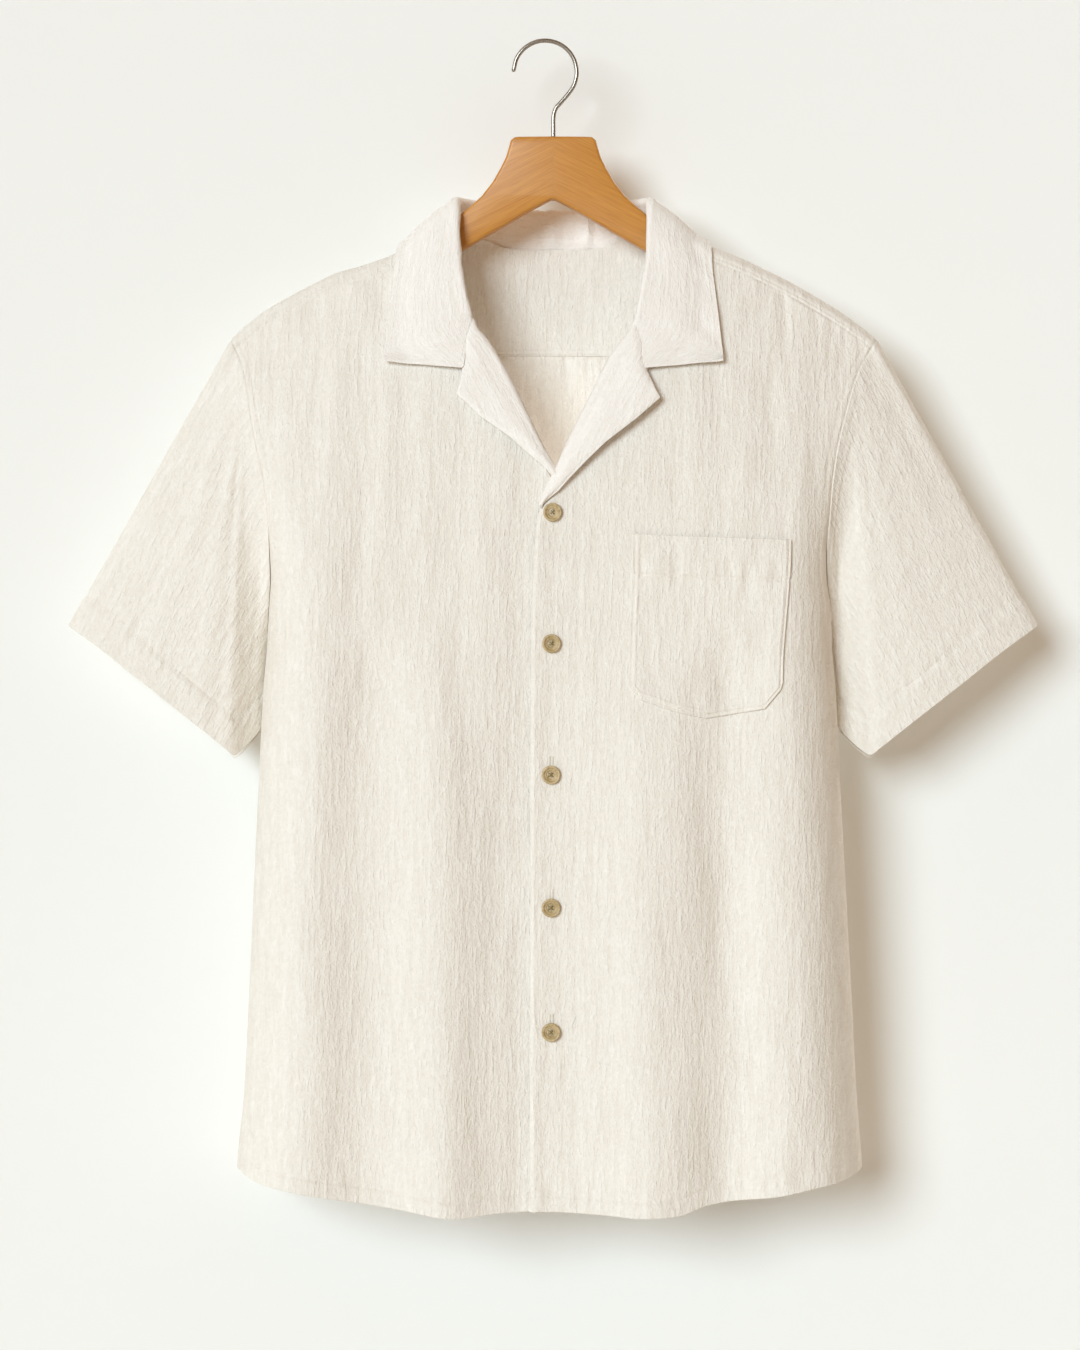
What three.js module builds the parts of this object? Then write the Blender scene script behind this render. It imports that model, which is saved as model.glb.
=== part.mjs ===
// Short-sleeved camp shirt hanging on a flat wooden hanger. Millimetres, +Z up, -Y is the shirt's front.
// The origin is the inner top of the hanger's hook, where a rail carries it. "left" and "right" are as seen
// from the front, so the wearer's left front, which laps over the other, is the right one here.
import * as THREE from 'three';

// Driving sizes
const clothWall = 1.2;        // body cloth
const layeredWall = 1.8;      // collar and lapels: two layers of cloth
const seam = 0.3;             // gap between pieces that are sewn together
const onPanel = 0.9;          // height of what lies on a panel above it
const centre = 6;             // x of the shirt's centre line and of the hook's stem
const yokeSeamDrop = 12;      // front yoke seam below the shoulder's crest
const underarmDrop = 448;     // level of the underarm below the hook
const frontLap = 2.3;         // how far the lower front lies behind the upper one
const buttonRadius = 6.8;
const buttonThickness = 3;
const hookWire = 1.6;         // radius of the hook's wire
const hookBend = 23.2;        // radius of the hook's bow, to the middle of the wire
const hangerThickness = 12;
const hangerReach = 222;      // from the centre to the end of an arm

const table = (columns, ...rows) =>
  rows.map((row) => Object.fromEntries(columns.map((name, i) => [name, row[i]])));

// A level is a distance below the hook, and "out" is a distance to either side of the centre line.
// Crest of the shoulders. Inside the neck opening, out < 78, it is only a construction line.
const crest = table(['out', 'left', 'right'],
  [0, 127.5, 127.5], [50, 128.6, 128.6], [78, 131.5, 131.5], [100, 145, 142.5], [116, 155, 149.8],
  [138, 163, 158.5], [160, 169.5, 169], [180, 179.5, 179.5], [205, 193, 194.3], [225, 207, 208],
  [238, 219.5, 218.5]);

// Armholes down to the underarm, then side seams: x on each side, and how far the armhole's front and
// back edges stand from the plane of the hanger.
const sides = table(['level', 'left', 'right', 'front', 'back'],
  [217, -232, 243.6, 13, 12], [227, -226.5, 237.3, 13.5, 12.5], [242, -220.2, 228.6, 19, 18],
  [270, -215.5, 219.6, 26, 24], [298, -210, 212.6, 30, 28], [320, -205, 209, 32, 30],
  [348, -201.5, 206.5, 32, 30], [370, -200.5, 204.4, 29, 27], [392, -200, 205, 22, 21],
  [412, -201.5, 208, 14, 13], [434, -203.4, 210, 5, 5], [448, -204.6, 210.9, 0.15, 0.15],
  [476, -206.9, 213.3, 0.15, 0.15], [542, -210.3, 216.4, 0.15, 0.15], [704, -217.7, 225.1, 0.15, 0.15],
  [770, -221, 228.4, 0.15, 0.15], [818, -225.8, 232.1, 0.15, 0.15], [860, -228, 234, 0.15, 0.15]);

// Depth of the body at its middle, in front of and behind the hanger
const girth = table(['level', 'front', 'back'],
  [130, 48, 38], [320, 53, 41], [450, 56, 43], [700, 58, 44], [860, 55, 42]);

// Inner edges of the two fronts: neckline, then the turn of the lapel, then the buttoned edge
const frontEdge = table(['level', 'left', 'right'],
  [140, -74, 86], [160, -72, 84], [180, -67, 79], [200, -60, 72], [212, -55.5, 68.5],
  [235, -40, 52.5], [261, -26.3, 40], [285, -14.8, 28], [302, -6.5, 20], [318, 1.5, 12.8],
  [330, 8, 7.5], [336, 11.5, 4.6], [341, 14.5, 0], [349, 18, -5], [362, 20, -6.7], [386, 20, -8.2],
  [453, 20, -10], [600, 20, -10.5], [860, 20, -11]);

// Hem, level by x
const hem = table(['x', 'level'],
  [-232, 822], [-226, 824.5], [-208.8, 831.4], [-190, 834.7], [-142, 843.1], [-99.5, 849.5],
  [-63.2, 854], [-29.9, 851.3], [0, 850.6], [34, 851.8], [69, 853.5], [95, 852.2], [114.3, 846.3],
  [130.5, 843.5], [166, 839], [191, 834], [217, 829.5], [231, 825], [236, 822]);

// Long soft folds that hang from the chest and the shoulder blades to the hem
const frontFolds = table(['topX', 'hemX', 'width', 'chest', 'hem', 'start'],
  [-176, -184, 21, 6.2, 7.2, 250], [-78, -73, 27, 2.9, 8.8, 380], [66, 73, 29, 2.8, 8.4, 380],
  [184, 187, 23, 4.8, 6.4, 290]);
const backFolds = table(['topX', 'hemX', 'width', 'chest', 'hem', 'start'],
  [-158, -170, 24, 3.4, 5.2, 300], [-52, -60, 22, 2.4, 5.6, 240], [58, 44, 26, 2.2, 5.0, 240],
  [150, 158, 25, 3.6, 5.6, 300]);

// Collar, from the centre back to the gorge: the turn of the collar (roll), its outer edge, and the
// width of the turn. "seat" is the place along the neckline that the section is sewn to.
const collarSections = table(
  ['seat', 'out', 'y', 'level', 'edgeOut', 'edgeY', 'edgeLevel', 'bend'],
  [0, 0, 42, 117.5, 0, 50, 163, 4], [0.17, 36, 38, 117.2, 50, 47, 163, 4],
  [0.34, 58, 25, 116, 86, 36, 161, 4], [0.48, 68.4, 3, 114.2, 114.5, 5, 148.5, 4],
  [0.54, 68.2, -7, 119.5, 115.4, -8, 154, 4], [0.6, 68, -14, 132, 116, -18, 168, 3.7],
  [0.74, 66.9, -23, 162, 118.8, -27, 195, 3.3],
  [0.83, 64, -29, 180, 121, -33, 217, 3.1], [0.92, 60, -34, 198, 122.4, -37, 230, 3],
  [1, 57.3, -36, 212, 122.8, -39, 237.6, 3]);
const gorgeNotch = { out: 65.2, y: -44, level: 243.2 };

// Lapels, from the gorge to the first button
const lapelRight = table(['out', 'level', 'edgeOut', 'edgeLevel', 'lift'],
  [56.9, 214.4, 65.1, 246, 5.5], [49.5, 224, 71.5, 255.7, 6], [41, 235.6, 76.9, 264.5, 7],
  [28.9, 260.7, 59.3, 280, 7], [16.9, 284.8, 37.2, 297.1, 7], [8.5, 302, 24.3, 309.5, 6],
  [1.8, 318, 11.3, 322.5, 5], [-3.5, 327, 3.4, 330.1, 4.4], [-6.6, 334, -3.6, 335.9, 4.6]);
const lapelLeft = table(['out', 'level', 'edgeOut', 'edgeLevel', 'lift'],
  [56.2, 213.6, 63.7, 244.6, 5.5], [48.6, 223, 67, 252.5, 5], [41, 234.8, 69.9, 261.6, 5],
  [27.3, 261.5, 52, 278.6, 5], [15.4, 286.6, 31, 293.4, 4.8], [6.5, 304, 17, 306, 4.2],
  [2, 314.5, 7.5, 314.8, 3.8]);

// Sleeve hem all round, from the crown by the front to the underarm seam and by the back to the crown.
// "arm" is where the same thread starts on the armhole, 0 at the shoulder and 1 at the underarm, and
// "swell" is how far it stands proud halfway down.
const sleeveHem = table(['half', 'arm', 'out', 'y', 'level', 'swell'],
  ['front', 0, 355.5, -1, 428.3, 0], ['front', 0.025, 350, -8, 432, 0.5],
  ['front', 0.055, 330, -15, 446, 1.5], ['front', 0.085, 305, -20, 465.5, 2.5],
  ['front', 0.115, 280, -23.5, 485, 3.5], ['front', 0.145, 256, -25, 504, 4.5],
  ['front', 0.18, 240, -24, 517, 5.5], ['front', 0.24, 233.5, -20, 522.5, 5.5],
  ['front', 0.38, 229, -14, 520, 3], ['front', 0.56, 222.5, -8, 513.9, 0],
  ['front', 0.78, 216.5, -4, 506, -2], ['front', 0.9, 214.5, -1, 502.5, -1],
  ['front', 1, 213.5, 1, 500.5, 0], ['back', 0.9, 215, 2.5, 503, -1],
  ['back', 0.78, 217, 5, 507, -2], ['back', 0.56, 224, 11, 516, 0], ['back', 0.38, 231, 16, 523, 3],
  ['back', 0.24, 236, 20, 525.5, 5], ['back', 0.18, 242, 22, 519.5, 5],
  ['back', 0.145, 257.5, 23, 506.5, 4], ['back', 0.115, 281, 21, 487.5, 3],
  ['back', 0.085, 306, 17, 467.5, 2], ['back', 0.055, 331, 12, 447, 1],
  ['back', 0.025, 350.5, 5.5, 432.5, 0]);

// Patch pocket on the right front: bottom edge, by its share of the width
const pocket = { left: 63, leftLow: 59.8, right: 176.8, rightLow: 170.5, top: 363.6, topSlope: 0.035 };
const pocketBottom = table(['share', 'level'],
  [0, 471], [0.07, 481.9], [0.3, 490.7], [0.5, 495.6], [0.885, 488.6], [0.985, 475.4], [1, 470]);

const buttonPlaces = table(['x', 'level'],
  [5.2, 347.6], [4.5, 442.1], [4.1, 536.5], [4.1, 632], [4.1, 721.4]);

// Half of the hanger's block, from the top down to where the arm enters the collar
const hangerNeck = table(['out', 'level'],
  [28.5, 69.8], [31.3, 72.5], [32.6, 77], [34.8, 84.5], [39, 93], [44.4, 102.5], [52.5, 113],
  [61, 120.9], [68, 126.6], [73.5, 133], [79, 141.5], [88, 145]);

const clamp = (value, low, high) => Math.min(Math.max(value, low), high);
const smooth = (share) => {
  const t = clamp(share, 0, 1);
  return t * t * (3 - 2 * t);
};

// Reads a table as a smooth curve that never overshoots its rows
function read(rows, by, column, value) {
  const last = rows.length - 1;
  const at = clamp(value, rows[0][by], rows[last][by]);
  let k = 0;
  while (k < last - 1 && at > rows[k + 1][by]) k += 1;
  const rise = (i) => (rows[i + 1][column] - rows[i][column]) / (rows[i + 1][by] - rows[i][by]);
  const slope = (i) => {
    if (i === 0) return rise(0);
    if (i === last) return rise(last - 1);
    const before = rise(i - 1);
    const after = rise(i);
    return before * after <= 0 ? 0 : 2 * before * after / (before + after);
  };
  const step = rows[k + 1][by] - rows[k][by];
  const t = (at - rows[k][by]) / step;
  const ease = t * t * (3 - 2 * t);
  return rows[k][column] * (1 - ease) + rows[k + 1][column] * ease
    + step * (t * (1 - t) * (1 - t) * slope(k) - t * t * (1 - t) * slope(k + 1));
}

const sideOf = (x) => (x < centre ? 'left' : 'right');
const crestAt = (x) => read(crest, 'out', sideOf(x), Math.abs(x - centre));

// The cloth turns over the shoulder on a small bend at the armholes, wider behind the neck.
const neckShare = (x) => Math.exp(-(((x - centre) / 78) ** 2));
const bendDepth = (x, face) => (face === 'front' ? 11 : 11 + 27 * neckShare(x));
const bendDrop = (x, face) => (face === 'front' ? 9 : 9 + 12 * neckShare(x));

function foldHeight(folds, x, level) {
  let height = 0;
  for (const fold of folds) {
    const down = clamp((level - 350) / 500, -0.4, 1);
    const middle = fold.topX + (fold.hemX - fold.topX) * down;
    const size = fold.chest + (fold.hem - fold.chest) * clamp(down, 0, 1);
    height += size * smooth((level - fold.start) / 150) * Math.exp(-(((x - middle) / fold.width) ** 2));
  }
  return height;
}

// How far the body's cloth stands from the hanger's plane, at x and at a level
function standOff(x, level, face) {
  const below = Math.max(level - crestAt(x), 0);
  const deep = bendDepth(x, face);
  const turn = clamp(below / bendDrop(x, face), 0, 1);
  const full = read(girth, 'level', face, level);
  const fall = 1 - (1 - clamp(below / 230, 0, 1)) ** 2;
  const middle = deep * Math.sqrt(1 - (1 - turn) ** 2) + (full - deep) * fall;
  const low = read(sides, 'level', 'left', level);
  const high = read(sides, 'level', 'right', level);
  const across = clamp(Math.abs(x - (low + high) / 2) / ((high - low) / 2), 0, 1);
  const edge = Math.min(read(sides, 'level', face, level), middle);
  const roundness = 1 - 0.5 * smooth((level - 270) / 160);
  const bow = (1 - across ** 4) ** roundness;
  const folds = foldHeight(face === 'front' ? frontFolds : backFolds, x, level) * (1 - across ** 10);
  return edge + (middle - edge) * bow + folds;
}

const point = (x, y, level) => new THREE.Vector3(x, y, -level);
const onFront = (x, level, lift = 0) => point(x, -standOff(x, level, 'front') - lift, level);
const onBack = (x, level) => point(x, standOff(x, level, 'back'), level);

// A place on the yoke: "round" is the way over the shoulder, negative in front of the crest
const bendWay = 15.7;
function onYoke(x, round) {
  const face = round < 0 ? 'front' : 'back';
  const way = Math.abs(round);
  const drop = bendDrop(x, face);
  const below = way < bendWay ? drop * (1 - Math.cos(way / bendWay * Math.PI / 2)) : drop + way - bendWay;
  const level = crestAt(x) + below;
  return face === 'front' ? onFront(x, level) : onBack(x, level);
}
const roundAt = (x, level, face) => {
  const way = bendWay + level - crestAt(x) - bendDrop(x, face);
  return face === 'front' ? -way : way;
};

// Neckline from the centre back, 0, over the shoulder to the gorge in front, 1
const neckWidth = 78;
const neckBack = 38;
function neckline(seat, side) {
  const sign = side === 'left' ? -1 : 1;
  if (seat <= 0.5) {
    const angle = (1 - seat / 0.5) * Math.PI / 2;
    const x = centre + sign * neckWidth * Math.cos(angle);
    let near = 0;
    let far = bendWay;
    for (let i = 0; i < 30; i += 1) {
      const middle = (near + far) / 2;
      if (onYoke(x, middle).y < neckBack * Math.sin(angle)) near = middle;
      else far = middle;
    }
    return onYoke(x, near);
  }
  if (seat <= 0.62) {
    const share = (seat - 0.5) / 0.12;
    return onYoke(centre + sign * (neckWidth + 2 * share), -share * (bendWay + yokeSeamDrop - 9));
  }
  const start = crestAt(centre + sign * (neckWidth + 2)) + yokeSeamDrop;
  const level = start + (212 - start) * (seat - 0.62) / 0.38;
  return onFront(read(frontEdge, 'level', side, level), level);
}

// Makes a closed wall from a grid of points on its outer face. A loop closes on itself, "flip" turns the
// outer face round, and "pin" can correct the direction in which the wall gets its thickness.
function clothWallFrom(grid, wall, { loop = false, flip = false, pin = null } = {}) {
  const wide = grid.length;
  const long = grid[0].length;
  const pick = (i, j) => grid[loop ? (i + wide) % wide : clamp(i, 0, wide - 1)][clamp(j, 0, long - 1)];
  const inner = grid.map((line, i) => line.map((p, j) => {
    const u = pick(i + 1, j).clone().sub(pick(i - 1, j));
    const v = pick(i, j + 1).clone().sub(pick(i, j - 1));
    const normal = u.cross(v).normalize();
    if (flip) normal.negate();
    if (pin) pin(normal, i, j);
    return p.clone().addScaledVector(normal, -wall);
  }));
  const positions = [...grid.flat(), ...inner.flat()].flatMap((p) => p.toArray());
  const index = [];
  const outerAt = (i, j) => (i % wide) * long + j;
  const innerAt = (i, j) => wide * long + outerAt(i, j);
  const quad = (a, b, c, d) => {
    if (flip) index.push(a, c, b, a, d, c);
    else index.push(a, b, c, a, c, d);
  };
  const cells = loop ? wide : wide - 1;
  for (let i = 0; i < cells; i += 1) {
    for (let j = 0; j < long - 1; j += 1) {
      quad(outerAt(i, j), outerAt(i + 1, j), outerAt(i + 1, j + 1), outerAt(i, j + 1));
      quad(innerAt(i, j), innerAt(i, j + 1), innerAt(i + 1, j + 1), innerAt(i + 1, j));
    }
    quad(outerAt(i + 1, 0), outerAt(i, 0), innerAt(i, 0), innerAt(i + 1, 0));
    const end = long - 1;
    quad(outerAt(i, end), outerAt(i + 1, end), innerAt(i + 1, end), innerAt(i, end));
  }
  if (!loop) {
    for (let j = 0; j < long - 1; j += 1) {
      quad(outerAt(0, j), outerAt(0, j + 1), innerAt(0, j + 1), innerAt(0, j));
      const end = wide - 1;
      quad(outerAt(end, j + 1), outerAt(end, j), innerAt(end, j), innerAt(end, j + 1));
    }
  }
  const geometry = new THREE.BufferGeometry();
  geometry.setAttribute('position', new THREE.Float32BufferAttribute(positions, 3));
  geometry.setIndex(index);
  geometry.computeVertexNormals();
  return geometry;
}

const steps = (count) => Array.from({ length: count + 1 }, (_, i) => i / count);
const blend = (a, b, share) => a + (b - a) * share;

// Body panels share their columns with the yoke, so that the seams match.
const frontColumns = 11;
const armRows = 10;
const bodyRows = 7;
const spread = (share) => Math.sin(share * Math.PI / 2);

// Levels of one column, from its top to the underarm and on to the hem
function columnLevels(xAt, topAt, lowRows) {
  let top = topAt(xAt(200));
  for (let i = 0; i < 12; i += 1) top = topAt(xAt(top));
  let low = 850;
  for (let i = 0; i < 12; i += 1) low = read(hem, 'x', 'level', xAt(low));
  const above = steps(armRows).map((share) => blend(top, underarmDrop, share ** 1.25));
  const under = steps(lowRows).slice(1).map((share) => blend(underarmDrop, low, share));
  return [...above, ...under];
}

const frontX = (side, share) => (level) => blend(
  read(frontEdge, 'level', side, level), read(sides, 'level', side, level), spread(share));
const frontTop = (x) => crestAt(x) + yokeSeamDrop + seam / 2;

function frontGrid(side) {
  const lap = (x) => (side === 'left' ? frontLap * smooth((x + 32) / 18) : 0);
  return steps(frontColumns).map((share) => {
    const xAt = frontX(side, share);
    return columnLevels(xAt, frontTop, bodyRows).map((level) => {
      const x = xAt(level);
      return onFront(x, level, -lap(x));
    });
  });
}

// Along each seam the wall is set off square to it, so that the two pieces sewn there don't cross.
const bodyPin = (sideColumns) => (normal, i, j) => {
  if (j === 0) normal.setZ(0).normalize();
  if (!sideColumns.includes(i)) return;
  if (j < armRows) normal.setX(0).normalize();
  else normal.set(Math.sign(normal.x), 0, 0);
};

const backSeam = (x) => 227 + 18 * ((x - centre) / 230) ** 2;

// Way over the shoulder of a point on the neckline, as a share of the bend
function roundShare(p, angle) {
  if (angle === 0) return 0;
  const below = -p.z - crestAt(p.x);
  return Math.acos(clamp(1 - below / bendDrop(p.x, 'back'), -1, 1)) / (Math.PI / 2);
}

// Columns of the yoke on one side, from the armhole to the centre back: where each starts, on the front
// seam or the neckline, and where it ends on the back seam
function yokeColumns(side) {
  const sign = side === 'left' ? -1 : 1;
  const starts = [...steps(frontColumns)].reverse().map((share) => {
    const xAt = frontX(side, share);
    let level = 200;
    for (let i = 0; i < 12; i += 1) level = frontTop(xAt(level)) - seam;
    return { x: xAt(level), round: roundAt(xAt(level), level, 'front') };
  });
  const firstOut = Math.abs(starts[0].x - centre);
  const neckOut = Math.abs(starts[frontColumns].x - centre);
  let backLevel = 240;
  for (let i = 0; i < 12; i += 1) backLevel = backSeam(read(sides, 'level', side, backLevel));
  const backOut = Math.abs(read(sides, 'level', side, backLevel) - centre);
  const wing = starts.map((start) => {
    const share = (Math.abs(start.x - centre) - neckOut) / (firstOut - neckOut);
    return { ...start, share, side, endX: centre + sign * blend(neckOut + 18, backOut, share) };
  });
  const neck = [0.5, 0.4, 0.3, 0.2, 0.1].map((seat) => {
    const p = neckline(seat, side);
    const angle = (1 - seat / 0.5) * Math.PI / 2;
    return { x: p.x, round: bendWay * roundShare(p, angle), endX: centre + sign * 160 * seat };
  });
  return [...wing, ...neck];
}

const overShoulder = [-0.66, -0.33, 0, 0.33, 0.66, 1];
const aroundNeck = [0.05, 0.1, 0.16, 0.22, 0.3, 0.4];
const middleNeck = neckline(0, 'right');
const allYokeColumns = [
  ...yokeColumns('left'),
  { x: centre, round: bendWay * roundShare(middleNeck, 1), endX: centre },
  ...yokeColumns('right').reverse(),
];
const lastYokeColumn = allYokeColumns.length - 1;
const wayShare = (column, way, end) => (way - column.round) / (end - column.round);

// The armholes bow out from the straight line between the two seams.
function armholeBow(side, way) {
  const outer = allYokeColumns[side === 'left' ? 0 : lastYokeColumn];
  const end = roundAt(outer.endX, backSeam(outer.endX) - seam / 2, 'back');
  const straight = blend(outer.x, outer.endX, wayShare(outer, way, end));
  let x = straight;
  for (let i = 0; i < 12; i += 1) x = read(sides, 'level', side, -onYoke(x, way).z);
  return x - straight;
}

const yokePin = (normal, i, j) => {
  if (i === 0 || i === lastYokeColumn) normal.setX(0).normalize();
  const onSeam = j === 9 || (j === 0 && allYokeColumns[i].round < -bendWay);
  if (onSeam) normal.setZ(0).normalize();
};
const yokeGrid = allYokeColumns.map((column) => {
  const end = roundAt(column.endX, backSeam(column.endX) - seam / 2, 'back');
  const ways = column.round < 0
    ? overShoulder.map((share) => share * bendWay)
    : aroundNeck.map((share) => blend(column.round, end, share));
  return [column.round, ...ways, blend(ways[5], end, 0.33), blend(ways[5], end, 0.66), end].map((way) => {
    const bow = column.share > 0 ? armholeBow(column.side, way) * column.share ** 3 : 0;
    return onYoke(blend(column.x, column.endX, wayShare(column, way, end)) + bow, way);
  });
});

const backRows = 6;
const backGrid = allYokeColumns.map((column) => {
  const side = sideOf(column.endX);
  const topSide = read(sides, 'level', side, backSeam(column.endX));
  const share = (column.endX - centre) / (topSide - centre);
  const xAt = (level) => blend(centre, read(sides, 'level', side, level), share);
  return columnLevels(xAt, (x) => backSeam(x) + seam / 2, backRows)
    .map((level) => onBack(xAt(level), level));
});

// Armhole edge on one face, 0 at the crest of the shoulder and 1 at the underarm
function armhole(side, face, share) {
  const tip = read(crest, 'out', side, Math.abs(read(sides, 'level', side, 217) - centre));
  const level = blend(tip, underarmDrop, share);
  const x = read(sides, 'level', side, level);
  const p = face === 'front' ? onFront(x, level) : onBack(x, level);
  p.x += (side === 'left' ? -1 : 1) * 2 * seam;
  return p;
}

const sleevePin = (normal, i, j) => {
  if (j === 0) normal.setX(0).normalize();
};
const sleeveRows = 8;
function sleeveGrid(side) {
  const sign = side === 'left' ? -1 : 1;
  const bodySide = Math.abs(read(sides, 'level', side, 500) - centre);
  const lean = bodySide - 211.3;
  return sleeveHem.map((row) => {
    const start = armhole(side, row.half, row.arm);
    const end = point(centre + sign * (row.out + lean * row.arm), row.y, row.level);
    return steps(sleeveRows).map((share) => {
      const p = start.clone().lerp(end, share);
      p.y += (row.half === 'front' ? -1 : 1) * row.swell * Math.sin(share * Math.PI);
      return p;
    });
  });
}

// Moves a point out until it is at least "lift" clear of the body's cloth
function clearOfBody(p, lift) {
  for (let i = 0; i < 4; i += 1) {
    const face = p.y < 0 ? 'front' : 'back';
    const reach = Math.abs(p.y) - standOff(p.x, -p.z, face);
    let low = crestAt(p.x);
    let high = Math.max(low, -p.z) + 60;
    for (let k = 0; k < 24; k += 1) {
      const middle = (low + high) / 2;
      if (standOff(p.x, middle, face) < Math.abs(p.y)) low = middle;
      else high = middle;
    }
    const rise = low + p.z;
    const slant = Math.hypot(reach, rise);
    const gap = slant < 1e-6 ? 0 : Math.sign(rise) * Math.abs(reach * rise) / slant;
    if (gap >= lift) return p;
    const across = slant < 1e-6 ? 0 : Math.abs(rise) / slant;
    const up = slant < 1e-6 ? 1 : Math.abs(reach) / slant;
    p.y += (face === 'front' ? -1 : 1) * across * (lift - gap);
    p.z += up * (lift - gap);
  }
  return p;
}

// One section of cloth that is turned back on itself: from its seam up to the bend, round, and out
function turnedSection({ start, roll, notch, edge, along, bend, hold }) {
  const out = (notch ?? edge).clone().sub(roll);
  out.addScaledVector(along, -out.dot(along)).normalize();
  const over = along.clone().cross(out).normalize();
  const middle = roll.clone().addScaledVector(out, bend);
  const arc = [-90, -30, 30, 90].map((degrees) => {
    const angle = degrees * Math.PI / 180;
    return middle.clone()
      .addScaledVector(out, -bend * Math.cos(angle))
      .addScaledVector(over, bend * Math.sin(angle));
  });
  const stand = start ? [start, start.clone().lerp(arc[0], 0.5)] : [];
  const from = arc[3];
  const fall = [0.34, 0.67, 1].map((share) => {
    let p;
    if (notch) {
      const turn = notch.clone().addScaledVector(over, bend * 0.6);
      p = share < 0.5 ? from.clone().lerp(turn, share / 0.34)
        : turn.clone().lerp(edge, (share - 0.34) / 0.66);
    } else {
      p = from.clone().lerp(edge, share);
    }
    return clearOfBody(p, hold);
  });
  return [...stand, ...arc, ...fall];
}

const collarSeats = [0, 0.1, 0.2, 0.29, 0.36, 0.41, 0.45, 0.49, 0.52, 0.55, 0.58, 0.62, 0.68, 0.76,
  0.84, 0.92, 1];
function collarGrid() {
  const half = (side) => {
    const sign = side === 'left' ? -1 : 1;
    const at = (seat) => {
      const value = (column) => read(collarSections, 'seat', column, seat);
      return {
        roll: point(centre + sign * value('out'), value('y'), value('level')),
        edge: point(centre + sign * value('edgeOut'), value('edgeY'), value('edgeLevel')),
        bend: value('bend'),
      };
    };
    return collarSeats.map((seat) => {
      const here = at(seat);
      const next = at(Math.min(seat + 0.02, 1)).roll;
      const before = at(Math.max(seat - 0.02, 0)).roll;
      const along = seat === 0 ? new THREE.Vector3(1, 0, 0)
        : next.sub(before).normalize().multiplyScalar(sign);
      const start = neckline(seat, side);
      start.z += 0.5 + 1.5 * smooth((seat - 0.38) / 0.14) - 1.8 * smooth((seat - 0.58) / 0.1);
      start.y -= 1.7 * smooth((seat - 0.48) / 0.1);
      const notch = seat < 1 ? null
        : point(centre + sign * gorgeNotch.out, gorgeNotch.y, gorgeNotch.level);
      return turnedSection({ ...here, start, notch, along, hold: layeredWall + 1.6 });
    });
  };
  return [...half('left').reverse(), ...half('right').slice(1)];
}

function lapelGrid(side) {
  const rows = side === 'left' ? lapelLeft : lapelRight;
  const sign = side === 'left' ? -1 : 1;
  const spots = rows.map((row) => {
    const roll = onFront(centre + sign * row.out, row.level, 1.5);
    const edge = onFront(centre + sign * row.edgeOut, row.edgeLevel, row.lift);
    return { roll, edge };
  });
  return spots.map((spot, i) => {
    const next = spots[Math.min(i + 1, spots.length - 1)].roll;
    const before = spots[Math.max(i - 1, 0)].roll;
    const along = next.clone().sub(before).normalize().multiplyScalar(sign);
    return turnedSection({ ...spot, along, bend: 2.6, hold: layeredWall + onPanel });
  });
}

function pocketGrid() {
  const columns = 9;
  const rows = 9;
  return steps(columns).map((share) => {
    const low = read(pocketBottom, 'share', 'level', share);
    return steps(rows).map((down) => {
      const left = blend(pocket.left, pocket.leftLow, smooth(down));
      const right = blend(pocket.right, pocket.rightLow, smooth(down));
      const x = blend(left, right, share);
      const top = pocket.top + pocket.topSlope * (x - pocket.left);
      return onFront(x, blend(top, low, down), onPanel + clothWall);
    });
  });
}

function button() {
  const r = buttonRadius;
  const t = buttonThickness;
  const profile = [[0, 0], [r * 0.72, 0], [r, t * 0.4], [r * 0.98, t * 0.75], [r * 0.84, t],
    [r * 0.62, t * 0.9], [r * 0.5, t * 0.55], [0, t * 0.55]];
  return new THREE.LatheGeometry(profile.map(([x, y]) => new THREE.Vector2(x, y)), 20);
}

function hangerOutline() {
  const shape = new THREE.Shape();
  const armOuts = [100, 116, 138, 160, 180, 200, 212, 219];
  const topOf = (out, side) => read(crest, 'out', side, out) + clothWall + 1.5;
  const half = (side) => [
    ...hangerNeck.map((row) => [row.out, row.level]),
    ...armOuts.map((out) => [out, topOf(out, side)]),
    [hangerReach, topOf(hangerReach, side) + 5],
    [hangerReach, topOf(hangerReach, side) + 15],
    [hangerReach - 5, topOf(hangerReach, side) + 20],
    [200, topOf(200, side) + 24],
    [160, topOf(160, side) + 26],
    [116, 180],
    [67, 153],
  ];
  const leftHalf = half('left').map(([out, level]) => [centre - out, -level]);
  const rightHalf = half('right').map(([out, level]) => [centre + out, -level]);
  const outline = [...rightHalf, [centre, -115.5], ...leftHalf.reverse()];
  outline.forEach(([x, z], i) => (i === 0 ? shape.moveTo(x, z) : shape.lineTo(x, z)));
  shape.closePath();
  return shape;
}

function hanger() {
  const bevel = 2.2;
  const geometry = new THREE.ExtrudeGeometry(hangerOutline(), {
    depth: hangerThickness - 2 * bevel,
    bevelThickness: bevel,
    bevelSize: bevel,
    bevelOffset: -bevel,
    bevelSegments: 2,
  });
  geometry.translate(0, 0, bevel - hangerThickness / 2);
  geometry.rotateX(Math.PI / 2);
  return geometry;
}

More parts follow.
